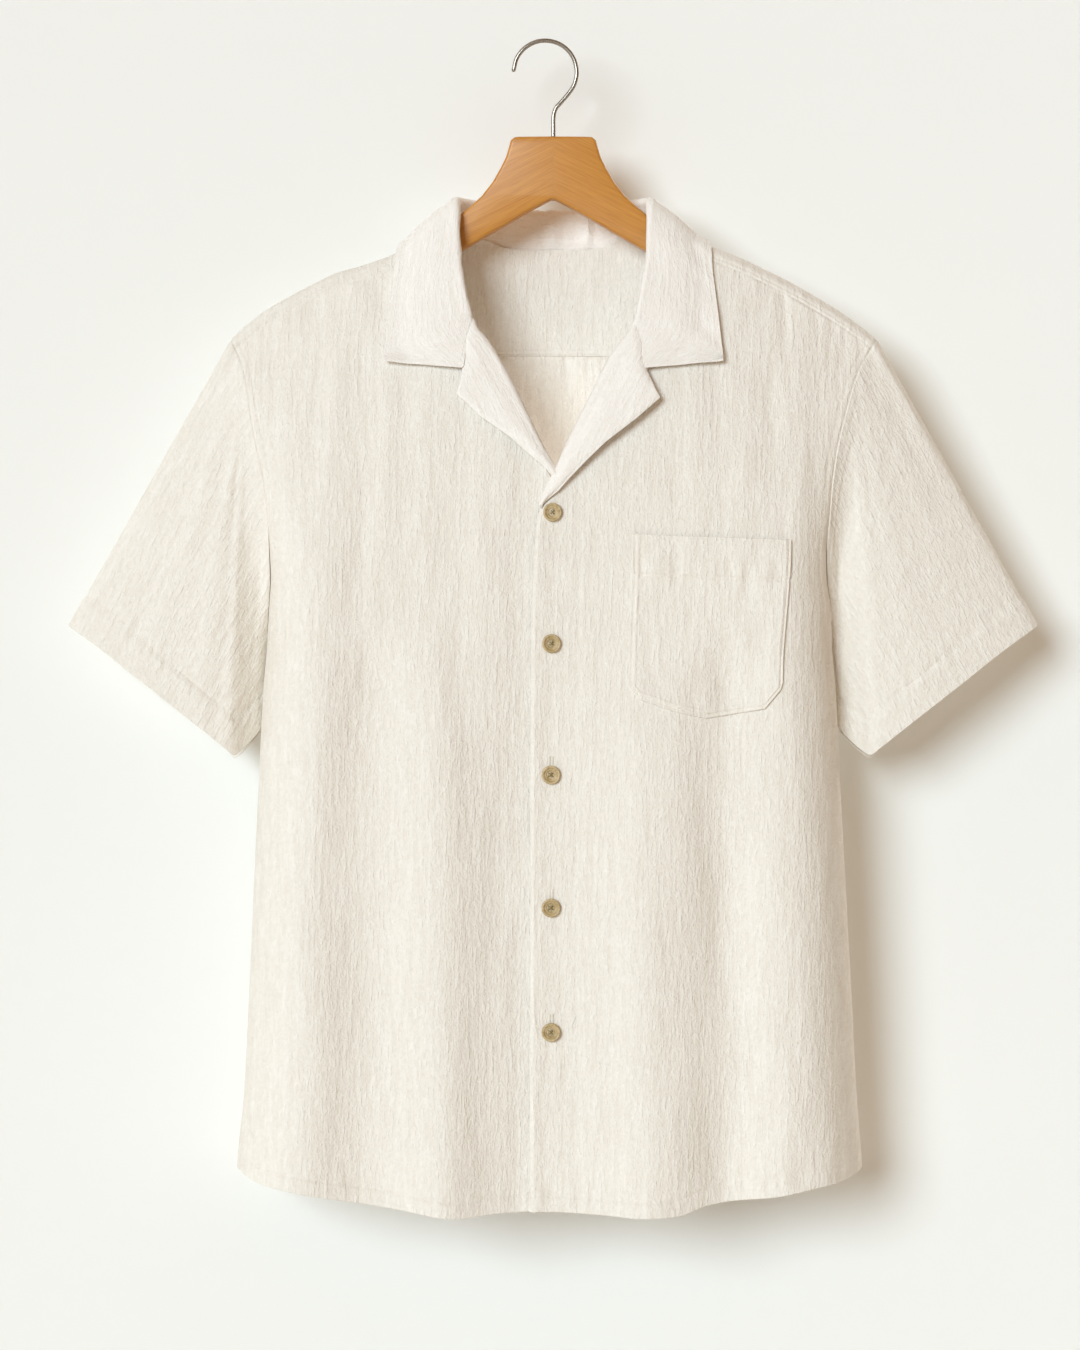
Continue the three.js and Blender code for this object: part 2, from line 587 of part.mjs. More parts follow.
function hook() {
  const middle = hookWire - hookBend;
  const bow = [176, 155, 133, 111, 90, 68, 46, 24, 0, -22, -40].map((degrees) => {
    const angle = degrees * Math.PI / 180;
    return new THREE.Vector3(hookBend * Math.cos(angle), 0, middle + hookBend * Math.sin(angle));
  });
  const stem = [[6.2, -43.2], [2.4, -47.4], [0.6, -51.5], [0, -56], [0, -62], [0, -69.5]]
    .map(([out, z]) => new THREE.Vector3(centre + out, 0, z));
  const section = new THREE.Shape();
  section.absarc(0, 0, hookWire, 0, Math.PI * 2);
  return new THREE.ExtrudeGeometry(section, {
    steps: 44,
    curveSegments: 4,
    extrudePath: new THREE.CatmullRomCurve3([...bow, ...stem]),
  });
}

const gauze = { color: 0xe9e3d6, roughness: 0.92, metalness: 0 };
const finishes = {
  cloth: () => new THREE.MeshStandardMaterial(gauze),
  horn: () => new THREE.MeshStandardMaterial({ color: 0xb59a6c, roughness: 0.45, metalness: 0 }),
  wood: () => new THREE.MeshStandardMaterial({ color: 0xc98c46, roughness: 0.5, metalness: 0 }),
  steel: () => new THREE.MeshStandardMaterial({ color: 0xb8b4ab, roughness: 0.3, metalness: 1 }),
};

const shirt = new THREE.Group();
function add(name, geometry, finish) {
  const mesh = new THREE.Mesh(geometry, finishes[finish]());
  mesh.name = name;
  shirt.add(mesh);
  return mesh;
}

function addCloth(name, grid, wall, options) {
  add(name, clothWallFrom(grid, wall, options), 'cloth');
}

const frontPin = bodyPin([frontColumns]);
const backPin = bodyPin([0, backGrid.length - 1]);
addCloth('front_left', frontGrid('left'), clothWall, { pin: frontPin });
addCloth('front_right', frontGrid('right'), clothWall, { flip: true, pin: frontPin });
addCloth('back', backGrid, clothWall, { pin: backPin });
addCloth('yoke', yokeGrid, clothWall, { pin: yokePin });
addCloth('sleeve_left', sleeveGrid('left'), clothWall, { loop: true, flip: true, pin: sleevePin });
addCloth('sleeve_right', sleeveGrid('right'), clothWall, { loop: true, pin: sleevePin });
addCloth('collar', collarGrid(), layeredWall);
addCloth('facing_left', lapelGrid('left'), layeredWall);
addCloth('facing_right', lapelGrid('right'), layeredWall, { flip: true });
addCloth('pocket', pocketGrid(), clothWall, { flip: true });
buttonPlaces.forEach((place, i) => {
  const mesh = add(`button_${i + 1}`, button(), 'horn');
  mesh.position.copy(onFront(place.x, place.level, onPanel));
  mesh.rotation.x = Math.PI;
});
add('hanger', hanger(), 'wood');
add('hook', hook(), 'steel');

export default shirt;
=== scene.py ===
# A camp shirt of crinkled cotton on a flat wooden hanger. Sizes are in millimetres until a mesh is made.
# x runs across the shirt, y from its front (negative) to its back, z up; "level" is the depth below the
# hook and "out" the distance from the shirt's centre line. left and right are as seen from the front.
import bmesh
import bpy
import math
import numpy as np
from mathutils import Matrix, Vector


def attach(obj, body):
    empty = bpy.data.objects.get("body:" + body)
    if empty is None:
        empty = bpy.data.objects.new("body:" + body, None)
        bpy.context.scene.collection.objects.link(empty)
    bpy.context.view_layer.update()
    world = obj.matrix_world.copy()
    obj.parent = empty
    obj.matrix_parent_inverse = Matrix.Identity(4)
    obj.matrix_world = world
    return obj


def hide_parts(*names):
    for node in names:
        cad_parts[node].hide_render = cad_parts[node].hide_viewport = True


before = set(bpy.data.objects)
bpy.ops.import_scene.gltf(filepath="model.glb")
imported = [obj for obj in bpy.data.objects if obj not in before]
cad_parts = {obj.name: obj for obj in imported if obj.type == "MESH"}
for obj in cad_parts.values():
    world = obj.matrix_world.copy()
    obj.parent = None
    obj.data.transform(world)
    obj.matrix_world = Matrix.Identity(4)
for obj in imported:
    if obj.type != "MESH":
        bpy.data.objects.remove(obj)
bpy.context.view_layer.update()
scene = bpy.context.scene


def addObject(name, data):
    item = bpy.data.objects.new(name, data)
    scene.collection.objects.link(item)
    return item


# Camera and view
viewing = {"place": (-0.0038, -2.6, -0.4647), "lens": 94.33, "sensor": 36}
cameraData = bpy.data.cameras.new("camera")
cameraData.lens, cameraData.sensor_width = viewing["lens"], viewing["sensor"]
scene.camera = addObject("camera", cameraData)
scene.camera.location, scene.camera.rotation_euler = viewing["place"], (math.radians(90), 0, 0)
scene.view_settings.view_transform = "Standard"
print("camera set")


# Tables and small mathematics
def table(columns, *rows):
    return {name: np.array([row[i] for row in rows], float) for i, name in enumerate(columns.split())}


def smooth(share):
    t = np.clip(share, 0, 1)
    return t * t * (3 - 2 * t)


def blend(a, b, share):
    return a + (b - a) * share


def read(rows, by, column, value):  # a smooth curve through a table that never overshoots its rows
    xs, ys = rows[by], rows[column]
    at = np.clip(np.asarray(value, float), xs[0], xs[-1])
    k = np.clip(np.searchsorted(xs, at, side="left") - 1, 0, len(xs) - 2)
    step = np.diff(xs)
    rise = np.diff(ys) / step
    before, after = rise[:-1], rise[1:]
    product = before * after
    total = np.where(product > 0, before + after, 1)
    slope = np.concatenate([rise[:1], np.where(product > 0, 2 * product / total, 0), rise[-1:]])
    t = (at - xs[k]) / step[k]
    eased = t * t * (3 - 2 * t)
    return (ys[k] * (1 - eased) + ys[k + 1] * eased
            + step[k] * (t * (1 - t) ** 2 * slope[k] - t * t * (1 - t) * slope[k + 1]))


def softNoise(u, v, seed):  # smooth random height between -1 and 1, one lattice point per unit
    lattice = np.random.default_rng(seed).random((97, 89)) * 2 - 1
    iu, iv = np.floor(u).astype(int), np.floor(v).astype(int)
    fu, fv = u - iu, v - iv
    fu, fv = fu * fu * (3 - 2 * fu), fv * fv * (3 - 2 * fv)
    corner = lambda a, b: lattice[(iu + a) % 97, (iv + b) % 89]
    return (blend(corner(0, 0), corner(1, 0), fu) * (1 - fv) + blend(corner(0, 1), corner(1, 1), fu) * fv)


def unit(v):
    return v / np.maximum(np.linalg.norm(v, axis=-1, keepdims=True), 1e-9)


def packed(count, length, first=0.0, last=0.0):  # shares from 0 to 1, closer together near the two ends
    at = np.linspace(0, 1, 2001)
    density = np.ones_like(at)
    for reach, away in ((first, at * length), (last, (1 - at) * length)):
        if reach:
            density = density + 3.5 * np.exp(-(away / reach) ** 2)
    total = np.concatenate([[0], np.cumsum((density[1:] + density[:-1]) / 2)])
    return np.interp(np.linspace(0, 1, count), total / total[-1], at)


def seamDip(distance, depth=0.5, width=1.1):  # cloth turns down into a seam
    return -depth * np.exp(-(distance / width) ** 2)


def nearest(values, target):
    return int(np.argmin(np.abs(values - target)))


def through(a, b, c, d, t):  # a smooth curve from b to c, with a before it and d after it
    square, cube = 2 * a - 5 * b + 4 * c - d, 3 * b - a - 3 * c + d
    return 0.5 * (2 * b + (c - a) * t + square * t ** 2 + cube * t ** 3)


def point(x, y, level):
    x, y, level = np.broadcast_arrays(x, y, level)
    return np.stack([x, y, -level], -1).astype(float)


# The body's form
body = {"centre": 6, "seam": 0.16, "wall": 1.2, "layered": 1.5, "onPanel": 0.9, "yokeSeamDrop": 12,
        "frontLap": 2.3, "bendWay": 15.7, "neckWidth": 78, "neckBack": 38, "underarm": 448}
centre = body["centre"]
bendWay = body["bendWay"]
signOf = {"left": -1, "right": 1}
settling = range(14)  # rounds until a point that slides along a seam has come to rest

crest = table("out left right",
    [0, 127.5, 127.5], [50, 128.6, 128.6], [78, 131.5, 131.5], [100, 145, 142.5], [116, 155, 149.8],
    [138, 163, 158.5], [160, 169.5, 169], [180, 179.5, 179.5], [205, 193, 194.3], [225, 207, 208],
    [238, 219.5, 218.5])
sides = table("level left right front back",
    [217, -232, 243.6, 13, 12], [227, -226.5, 237.3, 13.5, 12.5], [242, -220.2, 228.6, 19, 18],
    [270, -215.5, 219.6, 26, 24], [298, -210, 212.6, 30, 28], [320, -205, 209, 32, 30],
    [348, -201.5, 206.5, 32, 30], [370, -200.5, 204.4, 29, 27], [392, -200, 205, 22, 21],
    [412, -201.5, 208, 14, 13], [434, -203.4, 210, 5, 5], [448, -204.6, 210.9, 0.15, 0.15],
    [476, -206.9, 213.3, 0.15, 0.15], [542, -210.3, 216.4, 0.15, 0.15], [704, -217.7, 225.1, 0.15, 0.15],
    [770, -221, 228.4, 0.15, 0.15], [818, -225.8, 232.1, 0.15, 0.15], [860, -228, 234, 0.15, 0.15])
girth = table("level front back",
    [130, 48, 38], [320, 53, 41], [450, 56, 43], [700, 58, 44], [860, 55, 42])
frontEdge = table("level left right",
    [140, -74, 86], [160, -72, 84], [180, -67, 79], [200, -60, 72], [212, -55.5, 68.5],
    [235, -40, 52.5], [261, -26.3, 40], [285, -14.8, 28], [302, -6.5, 20], [318, 1.5, 12.8],
    [330, 8, 7.5], [336, 11.5, 4.6], [341, 14.5, 0], [349, 18, -5], [362, 20, -6.7], [386, 20, -8.2],
    [453, 20, -10], [600, 20, -10.5], [860, 20, -11])
hem = table("x level",
    [-232, 822], [-226, 824.5], [-208.8, 831.4], [-190, 834.7], [-142, 843.1], [-99.5, 849.5],
    [-63.2, 854], [-29.9, 851.3], [0, 850.6], [34, 851.8], [69, 853.5], [95, 852.2], [114.3, 846.3],
    [130.5, 843.5], [166, 839], [191, 834], [217, 829.5], [231, 825], [236, 822])
frontFolds = table("topX hemX width chest hem start",
    [-181, -184, 28, 6.2, 8.4, 250], [-78, -73, 27, 4.4, 9.4, 380], [66, 76, 34, 3.8, 10.4, 400],
    [180, 177, 27, 4.8, 7.2, 290], [208, 208, 20, 4.0, 5.0, 320])
backFolds = table("topX hemX width chest hem start",
    [-158, -170, 24, 3.4, 5.2, 300], [-52, -60, 22, 2.4, 5.6, 240], [58, 44, 26, 2.2, 5.0, 240],
    [150, 158, 25, 3.6, 5.6, 300])
# Smaller uneven creases: ridges are positive, troughs negative
frontCreases = table("topX hemX width height start end",
    [-206, -200, 6, 1.6, 236, 330], [-192, -190, 7, 1.8, 228, 430], [-168, -166, 8, -1.5, 222, 470],
    [-150, -150, 7, 1.0, 215, 400], [-134, -137, 8, -1.2, 208, 540], [-116, -124, 7, 1.0, 200, 430],
    [-101, -110, 7, -0.9, 195, 420], [-86, -92, 7, 0.9, 215, 480], [-62, -60, 8, -0.9, 262, 560],
    [-44, -47, 8, 0.9, 300, 640], [-27, -30, 7, -0.7, 340, 700], [-122, -126, 19, -3.2, 430, 900],
    [-98, -97, 8, 0.8, 600, 900], [-158, -160, 17, 3.0, 350, 900], [-30, -24, 13, -1.6, 520, 900],
    [34, 30, 8, 0.8, 370, 620], [52, 48, 8, -0.8, 480, 900], [28, 30, 9, 0.9, 600, 900],
    [92, 88, 8, -0.9, 230, 400], [108, 104, 7, 0.9, 205, 390], [126, 122, 8, -1.0, 205, 420],
    [146, 140, 7, 0.9, 210, 400], [164, 160, 7, -1.3, 214, 430], [182, 176, 7, 1.8, 216, 420],
    [199, 196, 6, -1.4, 222, 400], [128, 134, 18, -5.6, 430, 900], [98, 103, 15, 2.2, 430, 900],
    [158, 156, 9, 0.8, 560, 900], [206, 205, 8, 0.9, 470, 900])
backCreases = table("topX hemX width height start end",
    [-196, -190, 8, 1.4, 250, 460], [-172, -170, 8, -1.2, 250, 500], [-120, -122, 10, -1.4, 260, 900],
    [-98, -96, 8, 1.0, 245, 560], [-76, -82, 7, -0.9, 236, 520], [-30, -28, 8, -1.2, 232, 900],
    [-6, 0, 10, 2.2, 232, 600], [22, 20, 10, -2.2, 232, 560], [84, 88, 9, -1.2, 236, 900],
    [108, 104, 8, 1.0, 245, 620], [130, 124, 8, -1.0, 250, 480], [178, 174, 8, 1.4, 250, 470],
    [200, 202, 8, -1.0, 460, 900])


def crestAt(x):
    out = np.abs(x - centre)
    return np.where(x < centre, read(crest, "out", "left", out), read(crest, "out", "right", out))


def sideAt(side, level):
    return read(sides, "level", side, level)


def frontEdgeAt(side, level):
    return read(frontEdge, "level", side, level)


def foldHeight(x, level, face):
    folds, creases = (frontFolds, frontCreases) if face == "front" else (backFolds, backCreases)
    down = np.clip((level - 350) / 500, -0.4, 1)
    height = 0
    for topX, hemX, width, chest, low, start in zip(*folds.values()):
        middle = topX + (hemX - topX) * down
        size = 1.5 * (chest + (low - chest) * np.clip(down, 0, 1))
        height = height + size * smooth((level - start) / 150) * np.exp(-((x - middle) / width) ** 2)
    for k, (topX, hemX, width, size, start, end) in enumerate(zip(*creases.values())):
        drift = 2.2 * np.sin(level / 47 + 1.7 * k) + 1.1 * np.sin(level / 21 + 0.9 * k)
        middle = topX + (hemX - topX) * down + drift
        fade = smooth((level - start) / 45) * smooth((end - level) / 90)
        uneven = 0.75 + 0.35 * np.sin(level / 33 + 2.3 * k)
        height = height + size * fade * uneven * np.exp(-((x - middle) / width) ** 2)
    return height


def neckShare(x):
    return np.exp(-((x - centre) / body["neckWidth"]) ** 2)


def bendSize(x, face):  # depth and drop of the turn over the shoulder
    wide = 0 if face == "front" else neckShare(x)
    return 11 + 27 * wide, 9 + 12 * wide


def standOff(x, level, face):  # how far the cloth stands from the hanger's plane
    x, level = np.broadcast_arrays(np.asarray(x, float), np.asarray(level, float))
    below = np.maximum(level - crestAt(x), 0)
    deep, drop = bendSize(x, face)
    turn = np.clip(below / drop, 0, 1)
    full = read(girth, "level", face, level)
    fall = 1 - (1 - np.clip(below / 230, 0, 1)) ** 2
    middle = deep * np.sqrt(1 - (1 - turn) ** 2) + (full - deep) * fall
    low, high = sideAt("left", level), sideAt("right", level)
    across = np.clip(np.abs(x - (low + high) / 2) / ((high - low) / 2), 0, 1)
    edge = np.minimum(read(sides, "level", face, level), middle)
    bow = (1 - across ** 8) ** (1 - 0.5 * smooth((level - 270) / 160))
    return edge + (middle - edge) * bow + foldHeight(x, level, face) * (1 - across ** 10)


def onFront(x, level, lift=0):
    return point(x, -standOff(x, level, "front") - lift, level)


def onBack(x, level, lift=0):
    return point(x, standOff(x, level, "back") + lift, level)


def onYoke(x, way):  # way is the distance over the shoulder, negative in front of its crest
    x, way = np.broadcast_arrays(np.asarray(x, float), np.asarray(way, float))
    places = []
    for face in ("front", "back"):
        drop = bendSize(x, face)[1]
        far = np.abs(way)
        turned = drop * (1 - np.cos(np.minimum(far / bendWay, 1) * np.pi / 2))
        level = crestAt(x) + np.where(far < bendWay, turned, drop + far - bendWay)
        places.append(onFront(x, level) if face == "front" else onBack(x, level))
    return np.where((way < 0)[..., None], *places)


def wayAt(x, level, face):
    way = bendWay + level - crestAt(x) - bendSize(x, face)[1]
    return -way if face == "front" else way


def neckline(seat, side):  # from the centre back, 0, over the shoulder to the gorge, 1
    sign = signOf[side]
    seat = np.asarray(seat, float)
    angle = (1 - np.minimum(seat, 0.5) / 0.5) * np.pi / 2
    backX = centre + sign * body["neckWidth"] * np.cos(angle)
    near, far = np.zeros_like(seat), np.full_like(seat, bendWay)
    for i in range(30):
        middle = (near + far) / 2
        low = onYoke(backX, middle)[..., 1] < body["neckBack"] * np.sin(angle)
        near, far = np.where(low, middle, near), np.where(low, far, middle)
    share = np.clip((seat - 0.5) / 0.12, 0, 1)
    ahead = -share * (bendWay + 3)
    over = onYoke(centre + sign * (body["neckWidth"] + 2 * share), ahead)
    start = crestAt(centre + sign * 80.0) + body["yokeSeamDrop"]
    level = start + (212 - start) * np.clip((seat - 0.62) / 0.38, 0, 1)
    down = onFront(frontEdgeAt(side, level), level)
    result = np.where((seat <= 0.5)[..., None], onYoke(backX, near), over)
    return np.where((seat > 0.62)[..., None], down, result), np.where(seat <= 0.5, near, ahead)


# Cloth pieces
def crinkle(u, v, seed, strength=1.0, streak=1.0):  # fine wrinkles of the gauze, longest along the warp (v)
    drift = 0.5 * softNoise(u / 30, v / 45, seed + 1)
    fine = softNoise(u / 6.2 + drift, v / 22, seed + 2)
    broad = softNoise(u / 12.5 + drift, v / 66, seed + 3)
    crumple = softNoise((u + 0.3 * v) / 6.5, v / 8, seed + 4)
    patch = 0.8 + 0.5 * softNoise(u / 45, v / 60, seed + 5)
    return strength * patch * (streak * (0.1 * fine + 0.52 * broad) + 0.13 * crumple)


def lengthAlong(grid, axis):
    step = np.linalg.norm(np.diff(grid, axis=axis), axis=-1)
    start = np.zeros_like(np.take(step, [0], axis=axis))
    return np.concatenate([start, np.cumsum(step, axis=axis)], axis=axis)


def normalsOf(grid, flip, loop=False):
    du = np.roll(grid, -1, 0) - np.roll(grid, 1, 0) if loop else np.gradient(grid, axis=0)
    normal = unit(np.cross(du, np.gradient(grid, axis=1)))
    return -normal if flip else normal


def meshFrom(name, verts, quads, material, uvs):
    mesh = bpy.data.meshes.new(name)
    mesh.vertices.add(len(verts))
    mesh.vertices.foreach_set("co", (np.asarray(verts, float) / 1000).ravel())
    mesh.loops.add(quads.size)
    mesh.loops.foreach_set("vertex_index", quads.ravel().astype(np.int32))
    mesh.polygons.add(len(quads))
    mesh.polygons.foreach_set("loop_start", np.arange(0, quads.size, quads.shape[1], dtype=np.int32))
    mesh.polygons.foreach_set("use_smooth", np.ones(len(quads), bool))
    mesh.update(calc_edges=True)
    mesh.uv_layers.new(name="grain").data.foreach_set("uv", uvs.reshape(-1).astype(np.float32))
    mesh.validate()
    mesh.set_sharp_from_angle(angle=math.radians(40))
    mesh.materials.append(material)
    return addObject(name, mesh)


# A cloth with two faces and a wall between them, from a grid of points on its outer face. "free" lists the
# edges that are rounded (0 and 1: a row's start and end, 2 and 3: the first and last row), "loop" joins the
# last row to the first, and "pin" holds the wall's direction where a piece meets its neighbour.
def clothPiece(name, outer, wall, material, grain, flip=False, loop=False, free="", pin=None):
    n, m = outer.shape[:2]
    normal = normalsOf(outer, flip, loop)
    if pin is not None:
        pin(normal)
    wall = np.broadcast_to(np.asarray(wall, float), (n, m))
    inner = outer - unit(normal) * wall[..., None]
    grain = np.stack(np.broadcast_arrays(*grain), -1) / 100
    index = np.arange(n * m).reshape(n, m)
    index = np.concatenate([index, index[:1]]) if loop else index
    uvIndex = np.arange(grain.shape[0] * m).reshape(-1, m)

    def quadsOf(index):
        a, b, c, d = index[:-1, :-1], index[1:, :-1], index[1:, 1:], index[:-1, 1:]
        return np.stack([q.ravel() for q in ((a, d, c, b) if flip else (a, b, c, d))], 1)
    top, topUv = quadsOf(index), quadsOf(uvIndex)
    flatOuter, flatInner, flatWall = outer.reshape(-1, 3), inner.reshape(-1, 3), wall.ravel()
    verts, count = [flatOuter, flatInner], 2 * n * m
    quads, uvQuads = [top, top[:, ::-1] + n * m], [topUv, topUv[:, ::-1]]
    # Rims: a row of points halfway through the wall, rounded outwards on a free edge
    rounded = lambda edge, side: np.full(len(edge), side in free, float)
    if loop:
        rims = [(index[:-1, 0], index[:-1, 1], "0"), (index[:-1, -1][::-1], index[:-1, -2][::-1], "1")]
        rims = [(edge, inside, rounded(edge, side)) for edge, inside, side in rims]
    else:
        ring = [(index[:, 0], index[:, 1], "0"), (index[-1, :], index[-2, :], "3"),
                (index[::-1, -1], index[::-1, -2], "1"), (index[0, ::-1], index[1, ::-1], "2")]
        parts = [(edge[:-1], inside[:-1], rounded(edge[:-1], side)) for edge, inside, side in ring]
        rims = [[np.concatenate(part) for part in zip(*parts)]]
    uvOf = np.zeros(n * m, int)
    uvOf[index.ravel()] = uvIndex.ravel()
    for edge, inside, rounding in rims:
        away = unit(flatOuter[edge] - flatOuter[inside])
        outwards = away * (0.42 * flatWall[edge] * rounding)[:, None]
        verts.append((flatOuter[edge] + flatInner[edge]) / 2 + outwards)
        after = np.roll(edge, -1)
        middle = count + np.arange(len(edge))
        middleAfter = np.roll(middle, -1)
        rim = [np.stack([after, edge, middle, middleAfter], 1),
               np.stack([middleAfter, middle, edge + n * m, after + n * m], 1)]
        rimUv = uvOf[np.stack([after, edge, edge, after], 1)]
        if flip:
            rim, rimUv = [q[:, ::-1] for q in rim], rimUv[:, ::-1]
        quads += rim
        uvQuads += [rimUv, rimUv]
        count += len(edge)
    uvs = grain.reshape(-1, 2)[np.concatenate(uvQuads)]
    return meshFrom(name, np.concatenate(verts), np.concatenate(quads), material, uvs)


# Materials
def linear(code):
    parts = [int(code[i:i + 2], 16) / 255 for i in (1, 3, 5)]
    return tuple(((p + 0.055) / 1.055) ** 2.4 if p > 0.04045 else p / 12.92 for p in parts) + (1.0,)


def addNode(tree, kind, links=(), props=(), **values):  # one node with its settings, values and links
    node = tree.nodes.new(kind)
    for name, value in dict(props).items():
        setattr(node, name, value)
    for name, value in values.items():
        key = int(name[1:]) if name[1:].isdigit() else name.replace("_", " ")
        node.inputs[key].default_value = value
    for source, key in links:
        tree.links.new(source, node.inputs[key])
    return node


def newMaterial(name, **values):  # values are constants of its shader
    material = bpy.data.materials.new(name)
    material.use_nodes = True
    tree = material.node_tree
    tree.nodes.clear()
    shader = addNode(tree, "ShaderNodeBsdfPrincipled", **values)
    addNode(tree, "ShaderNodeOutputMaterial", [(shader.outputs["BSDF"], "Surface")])
    return material, tree, shader


def connect(tree, shader, **sources):
    for name, source in sources.items():
        tree.links.new(source, shader.inputs[name.replace("_", " ")])


def objectPlace(tree):
    return addNode(tree, "ShaderNodeTexCoord").outputs["Object"]


def noise(tree, source, scale, detail, **values):
    return addNode(tree, "ShaderNodeTexNoise", [(source, "Vector")], Scale=scale, Detail=detail,
                   **values).outputs["Fac"]


def maths(tree, operation, *links, **values):
    return addNode(tree, "ShaderNodeMath", links, {"operation": operation}, **values).outputs[0]


def toneRamp(tree, fac, low, high, ends=(0, 1)):
    node = addNode(tree, "ShaderNodeValToRGB", [(fac, "Fac")])
    for element, colour, end in zip(node.color_ramp.elements, (low, high), ends):
        element.position, element.color = end, linear(colour)
    return node.outputs["Color"]


def mixed(tree, links, blending="MIX", **values):
    props = {"data_type": "RGBA", "blend_type": blending}
    return addNode(tree, "ShaderNodeMix", links, props, **values).outputs[2]


def bump(tree, height, strength, distance, *under):  # distance in metres
    return addNode(tree, "ShaderNodeBump", [(height, "Height")] + [(normal, "Normal") for normal in under],
                   Strength=strength, Distance=distance).outputs["Normal"]


# Cotton crinkle gauze, loosely woven and piece-dyed off-white: matt, with fine wrinkles and small sharp
# ridges along the warp, broken up by slanting crumples. The hollows of this relief are painted darker and
# warmer in the base colour, as painted shade. Each share is a layer's part in the height of the cloth.
gauze = {"light": "#F1EBE1", "shade": "#E7DFD3", "wrinkleMm": 5.0, "wrinkleLongMm": 42, "crumpleMm": 3.0,
         "crumpleLongMm": 4.4, "ridgeMm": 2.7, "ridgeLongMm": 13, "grainMm": 1.5, "weaveMm": 1.2,
         "grainShare": 0.18, "crumpleShare": 0.46, "ridgeShare": 0.15, "ridgeMean": 0.04, "paintedShadeSpan": 0.22,
         "reliefMm": 1.2, "slant": 0.4}


def cottonGauze(name, streak=0.62, relief=1.0, light=gauze["light"], shade=gauze["shade"]):
    material, tree, shader = newMaterial(name, Roughness=0.95, Specular_IOR_Level=0.2, Sheen_Weight=0.1,
                                         Sheen_Roughness=0.5)
    grain = addNode(tree, "ShaderNodeUVMap", props={"uv_map": "grain"}).outputs["UV"]

    # one unit of the grain map is 100 mm of cloth
    def layer(acrossMm, alongMm, detail, distortion, offset, turn=0.0):
        placed = addNode(tree, "ShaderNodeMapping", [(grain, "Vector")], {"vector_type": "TEXTURE"},
                         Location=(offset, offset * 0.7, 0), Rotation=(0, 0, turn),
                         Scale=(acrossMm / 100, alongMm / 100, 1))
        return addNode(tree, "ShaderNodeTexNoise", [(placed.outputs["Vector"], "Vector")],
                       {"noise_dimensions": "2D"}, Scale=1, Detail=detail, Roughness=0.6,
                       Distortion=distortion).outputs["Fac"]
    wrinkles = layer(gauze["wrinkleMm"], gauze["wrinkleLongMm"], 3.0, 0.1, 3.1)
    crumples = layer(gauze["crumpleMm"], gauze["crumpleLongMm"], 2.0, 0.4, 7.7, gauze["slant"])
    grains = layer(gauze["grainMm"], gauze["grainMm"] * 1.25, 0.5, 0.2, 11.3, -0.2)
    # real threads are 0.5 mm apart, too fine to show, so the weave is drawn about twice as coarse
    weave = layer(gauze["weaveMm"], gauze["weaveMm"] * 1.3, 0.5, 0, 1.3)
    ridgeNoise = layer(gauze["ridgeMm"], gauze["ridgeLongMm"], 1.0, 0.3, 5.9, 0.03)
    ridges = addNode(tree, "ShaderNodeMapRange", [(ridgeNoise, "Value")],
                     {"interpolation_type": "SMOOTHSTEP"}, From_Min=0.5, From_Max=0.68).outputs["Result"]
    height = maths(tree, "MULTIPLY", (wrinkles, 0), _1=streak)
    for part, share in ((ridges, "ridgeShare"), (crumples, "crumpleShare"), (grains, "grainShare")):
        height = maths(tree, "MULTIPLY_ADD", (part, 0), (height, 2), _1=gauze[share])
    middle = (gauze["grainShare"] + gauze["crumpleShare"] + gauze["ridgeMean"] + streak) / 2
    # painted shade: the colour runs from the shade colour in the hollows of the relief to the light colour
    # on its tops
    spread = addNode(tree, "ShaderNodeMapRange", [(height, "Value")], From_Min=middle - gauze["paintedShadeSpan"],
                     From_Max=middle + gauze["paintedShadeSpan"]).outputs["Result"]
    coarse = bump(tree, height, 1.0, gauze["reliefMm"] * relief / 1000)
    connect(tree, shader, Base_Color=toneRamp(tree, spread, shade, light),
            Normal=bump(tree, weave, 0.25, 0.0004, coarse))
    return material


# the layers of the collar and lapels are pressed smoother, and the two sleeves are creased unevenly. The
# collar and lapel cloth is painted lighter than the body's, as painted light.
bodyCloth = cottonGauze("crinkled cotton gauze")
collarCloth = cottonGauze("pressed cotton gauze painted lighter", 0.6, 0.75, "#F8F3EC", "#F0E9E0")
sleeveCloth = {
    # the left sleeve's cloth is painted a little lighter than the body's, as painted light
    "left": cottonGauze("crinkled cotton gauze on the left sleeve painted lighter", 0.7, 1.1, "#F2ECE2", "#E8E0D4"),
    "right": cottonGauze("crinkled cotton gauze on the right sleeve", 0.3, 1.15)}


def threadOf(name, low, high, scale, roughness):
    material, tree, shader = newMaterial(name, Roughness=roughness)
    twist = noise(tree, objectPlace(tree), scale, 1)
    connect(tree, shader, Base_Color=mixed(tree, [(twist, 0)], _6=linear(low), _7=linear(high)))
    return material


# Mercerised cotton sewing thread, dyed to match: a little glossier and lighter than the cloth
threadMaterial = threadOf("cotton sewing thread", "#E9E2D2", "#F7F3E9", 900, 0.7)
print("materials made")


# Every cloth piece is finished in the same way.
def finishCloth(item, node):
    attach(item, "root")
    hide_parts(node)
    print(item.name, len(item.data.polygons), "faces")


stitchLines = []  # each is a run of points, in mm, a little above the cloth
stitchLift = 0.15


def addStitches(points, normals):
    stitchLines.append(np.asarray(points) + np.asarray(normals) * stitchLift)


def edgeStitch(grid, normal, inset, fromEnd):  # a stitch line that follows a grid's outer edge
    line, lineNormal = [], []
    for i in range(len(grid)):
        j = float(np.interp(inset, fromEnd[i, ::-1], np.arange(grid.shape[1])[::-1]))
        j0 = min(int(j), grid.shape[1] - 2)
        line.append(blend(grid[i, j0], grid[i, j0 + 1], j - j0))
        lineNormal.append(normal[i, j0])
    return np.array(line), np.array(lineNormal)


